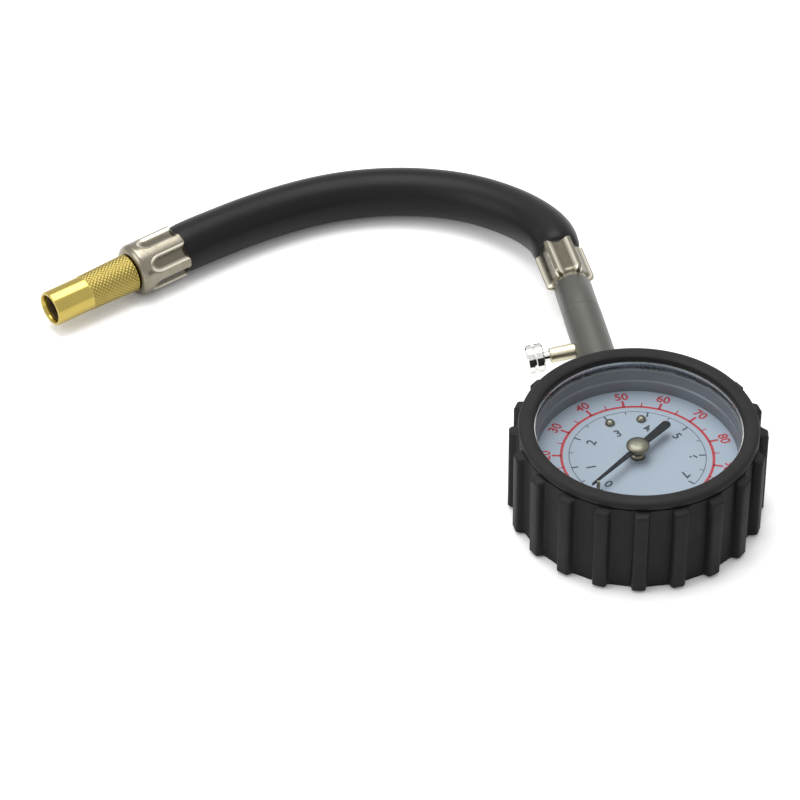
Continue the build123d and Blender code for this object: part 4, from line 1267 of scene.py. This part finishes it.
@dataclass
class Hose:
    """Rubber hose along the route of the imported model."""

    radius: float = 7.7
    route: tuple[tuple[float, float, float], ...] = HOSE_ROUTE
    girth: tuple[float, ...] = HOSE_GIRTH
    length: float = 0.1606

    def build(self) -> bpy.types.Object:
        """Build the hose as a bevelled spline.

        Returns:
            The hose's curve.
        """
        curve = bpy.data.curves.new("rubber_hose", "CURVE")
        curve.dimensions = "3D"
        curve.bevel_depth = self.radius * MM
        curve.bevel_resolution = 16
        curve.resolution_u = 24
        curve.use_fill_caps = True
        spline = curve.splines.new("NURBS")
        spline.points.add(len(self.route) - 1)
        for point, place, girth in zip(spline.points, self.route, self.girth):
            point.co = (*(c * MM for c in place), 1.0)
            point.radius = girth
        spline.order_u = 3
        spline.use_endpoint_u = True
        hose = bpy.data.objects.new("rubber_hose", curve)
        bpy.context.scene.collection.objects.link(hose)
        hose.data.materials.append(HOSE_RUBBER.build())
        return hand_over(hose, ROOT, ("hose",))


@dataclass
class Studio:
    """Camera, floor and soft lights."""

    eye: tuple[float, float, float] = (-190.6, -724.2, 679.6)
    elevation: float = 40.57
    heading: float = 9.58
    roll: float = -0.7
    lens: float = 157.5
    floor_glow: float = 0.42
    contact: float = 0.005
    world_light: float = 0.45
    aim: tuple[float, float, float] = (-0.05, 0.06, 0.0)

    def camera(self) -> None:
        """Place the camera at the photograph's viewing angle."""
        down, right = math.radians(self.elevation), math.radians(self.heading)
        level = math.cos(down)
        forward = Vector((math.sin(right) * level, math.cos(right) * level, -math.sin(down)))
        side = Vector((math.cos(right), -math.sin(right), 0))
        up = side.cross(forward)
        lean = math.radians(self.roll)
        x = side * math.cos(lean) + up * math.sin(lean)
        y = up * math.cos(lean) - side * math.sin(lean)
        data = bpy.data.cameras.new("camera")
        data.lens = self.lens
        data.sensor_width = 36
        data.clip_start = 0.01
        data.clip_end = 20
        camera = bpy.data.objects.new("camera", data)
        look = Matrix((x, y, -forward)).transposed().to_4x4()
        camera.matrix_world = Matrix.Translation(Vector(self.eye) * MM) @ look
        bpy.context.scene.collection.objects.link(camera)
        bpy.context.scene.camera = camera

    def seen_directly(self, tree: bpy.types.NodeTree) -> bpy.types.NodeSocket:
        """Tell camera, mirror and see-through rays from those that light the object.

        Args:
            tree: The node tree of the floor or the world.

        Returns:
            1 for a ray that shows the background, else 0.
        """
        path = add_node(tree, "ShaderNodeLightPath")
        first = add_node(tree, "ShaderNodeMath", {"operation": "MAXIMUM"},
                         {0: path.outputs["Is Camera Ray"], 1: path.outputs["Is Transmission Ray"]})
        both = add_node(tree, "ShaderNodeMath", {"operation": "MAXIMUM"},
                        {0: first.outputs[0], 1: path.outputs["Is Glossy Ray"]})
        return both.outputs[0]

    def floor(self) -> None:
        """Lay a pale floor that looks white and keeps the shadow, with a painted contact shadow where its
        glow dims close to the object.
        """
        deselect_all()
        bpy.ops.mesh.primitive_plane_add(size=6, location=(0, 0, 0))
        floor = bpy.context.object
        floor.name = "studio_floor"
        material = bpy.data.materials.new("pale_paper")
        material.use_nodes = True
        tree = material.node_tree
        tree.nodes.remove(tree.nodes["Principled BSDF"])
        paper = add_node(tree, "ShaderNodeBsdfDiffuse", {"Color": linear("#f0f0f0")})
        seen = self.seen_directly(tree)
        # Painted contact shadow: ambient occlusion dims the floor's glow within a few millimetres of the
        # object
        near = add_node(tree, "ShaderNodeAmbientOcclusion", {"Distance": self.contact}).outputs["AO"]
        share = add_node(tree, "ShaderNodeMapRange", {"To Max": self.floor_glow}, {"Value": near})
        lift = add_node(tree, "ShaderNodeMath", {"operation": "MULTIPLY"}, {0: seen, 1: share.outputs[0]})
        glow = add_node(
            tree, "ShaderNodeEmission", {"Color": linear("#ffffff")}, {"Strength": lift.outputs[0]}
        )
        both = add_node(tree, "ShaderNodeAddShader", None, {0: paper.outputs[0], 1: glow.outputs[0]})
        tree.links.new(both.outputs[0], tree.nodes["Material Output"].inputs["Surface"])
        floor.data.materials.append(material)

    def world(self) -> None:
        """Surround the object with a dim pale world that the camera sees as white."""
        world = bpy.data.worlds.new("studio")
        bpy.context.scene.world = world
        world.use_nodes = True
        tree = world.node_tree
        background = tree.nodes["Background"]
        seen = self.seen_directly(tree)
        strength = add_node(
            tree, "ShaderNodeMapRange", {"To Min": self.world_light, "To Max": 1.0}, {"Value": seen}
        )
        tree.links.new(strength.outputs[0], background.inputs["Strength"])
        background.inputs["Color"].default_value = linear("#ffffff")

    def lamp(self, name: str, place: tuple[float, float, float], size: float, power: float) -> None:
        """Hang one soft square lamp that faces the object.

        Args:
            name: The lamp's name.
            place: Its place, in metres.
            size: Its side, in metres.
            power: Its power, in watts.
        """
        data = bpy.data.lights.new(name, "AREA")
        data.size = size
        data.energy = power
        lamp = bpy.data.objects.new(name, data)
        lamp.location = place
        lamp.rotation_euler = (Vector(self.aim) - Vector(place)).to_track_quat("-Z", "Y").to_euler()
        bpy.context.scene.collection.objects.link(lamp)

    def build(self) -> None:
        """Build the studio."""
        self.camera()
        self.floor()
        self.world()
        self.lamp("top_softbox", (-0.1, 0.35, 1.1), 0.9, 11)
        self.lamp("left_softbox", (-1.1, -0.1, 0.7), 0.8, 5)
        scene = bpy.context.scene
        scene.view_settings.view_transform = "Standard"


NODE_FINISHES: dict[Finish, tuple[str, ...]] = {
    CASE_STEEL: ("gauge_case",),
    BEZEL_STEEL: ("bezel_ring",),
    SEAL_RUBBER: ("chuck_seal",),
    PALE_SILICONE: ("lens_gasket",),
    INNER_RUBBER: ("socket_seal", "stem_seal", "valve_seal"),
    SCREW_STEEL: ("case_screws", "movement_screws", "pinion_arbor", "sector_arbor", "tail_pin", "tip_pin"),
    MOVEMENT_BRASS: (
        "bourdon_tube", "tube_tip", "socket_block", "movement_bottom_plate", "movement_top_plate",
        "movement_pillars", "dial_posts", "hairspring", "spring_collet", "sector_gear", "link",
    ),
    POLISHED_BRASS: ("chuck_nipple", "core_depressor"),
    SPRING_STEEL: ("valve_spring",),
    HUB_NICKEL: ("stop_pin",),
    POINTER_ENAMEL: ("pointer",),
}


def dress_nodes() -> None:
    """Give every CAD node that stays its finish."""
    for finish, names in NODE_FINISHES.items():
        for name in names:
            dress(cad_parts[name], finish)
    dress(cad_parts["lens"], ClearLens())


def main() -> None:
    """Build the studio, the hose and then every sub-assembly."""
    logging.basicConfig(level=logging.INFO, format="%(message)s")
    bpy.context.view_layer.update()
    Studio().build()
    hose = Hose().build()
    near_mouth = Vector(HOSE_ROUTE[0]) + NEAR_RUN * INSERTION
    far_mouth = Vector(HOSE_ROUTE[-1]) - FAR_RUN * INSERTION
    Ferrule(
        "near_ferrule_pressed", "near_ferrule", near_mouth, -NEAR_RUN, ridge=7.5, length=15.2, depth=1.8,
        cutter=5.7, flute_stop=20.0, shoulder=1.7, neck=4.2, turn=7.0, bore=5.0,
    ).build()
    far_ferrule = Ferrule(
        "far_ferrule_pressed", "far_ferrule", far_mouth, FAR_RUN, ridge=8.3, length=17.3, depth=1.15,
        cutter=7.3, flute_stop=10.0, shoulder=2.2, neck=2.6, turn=64.0, bore=6.2,
    ).build()
    sleeve = Chuck(far_mouth, FAR_RUN).build()
    boot = Boot().build()
    hand_over(boot, ROOT, ("rubber_boot",))
    DialFace().build()
    Pointer().build()
    StemGroup().build()
    dress_nodes()


if __name__ == "__main__":
    main()
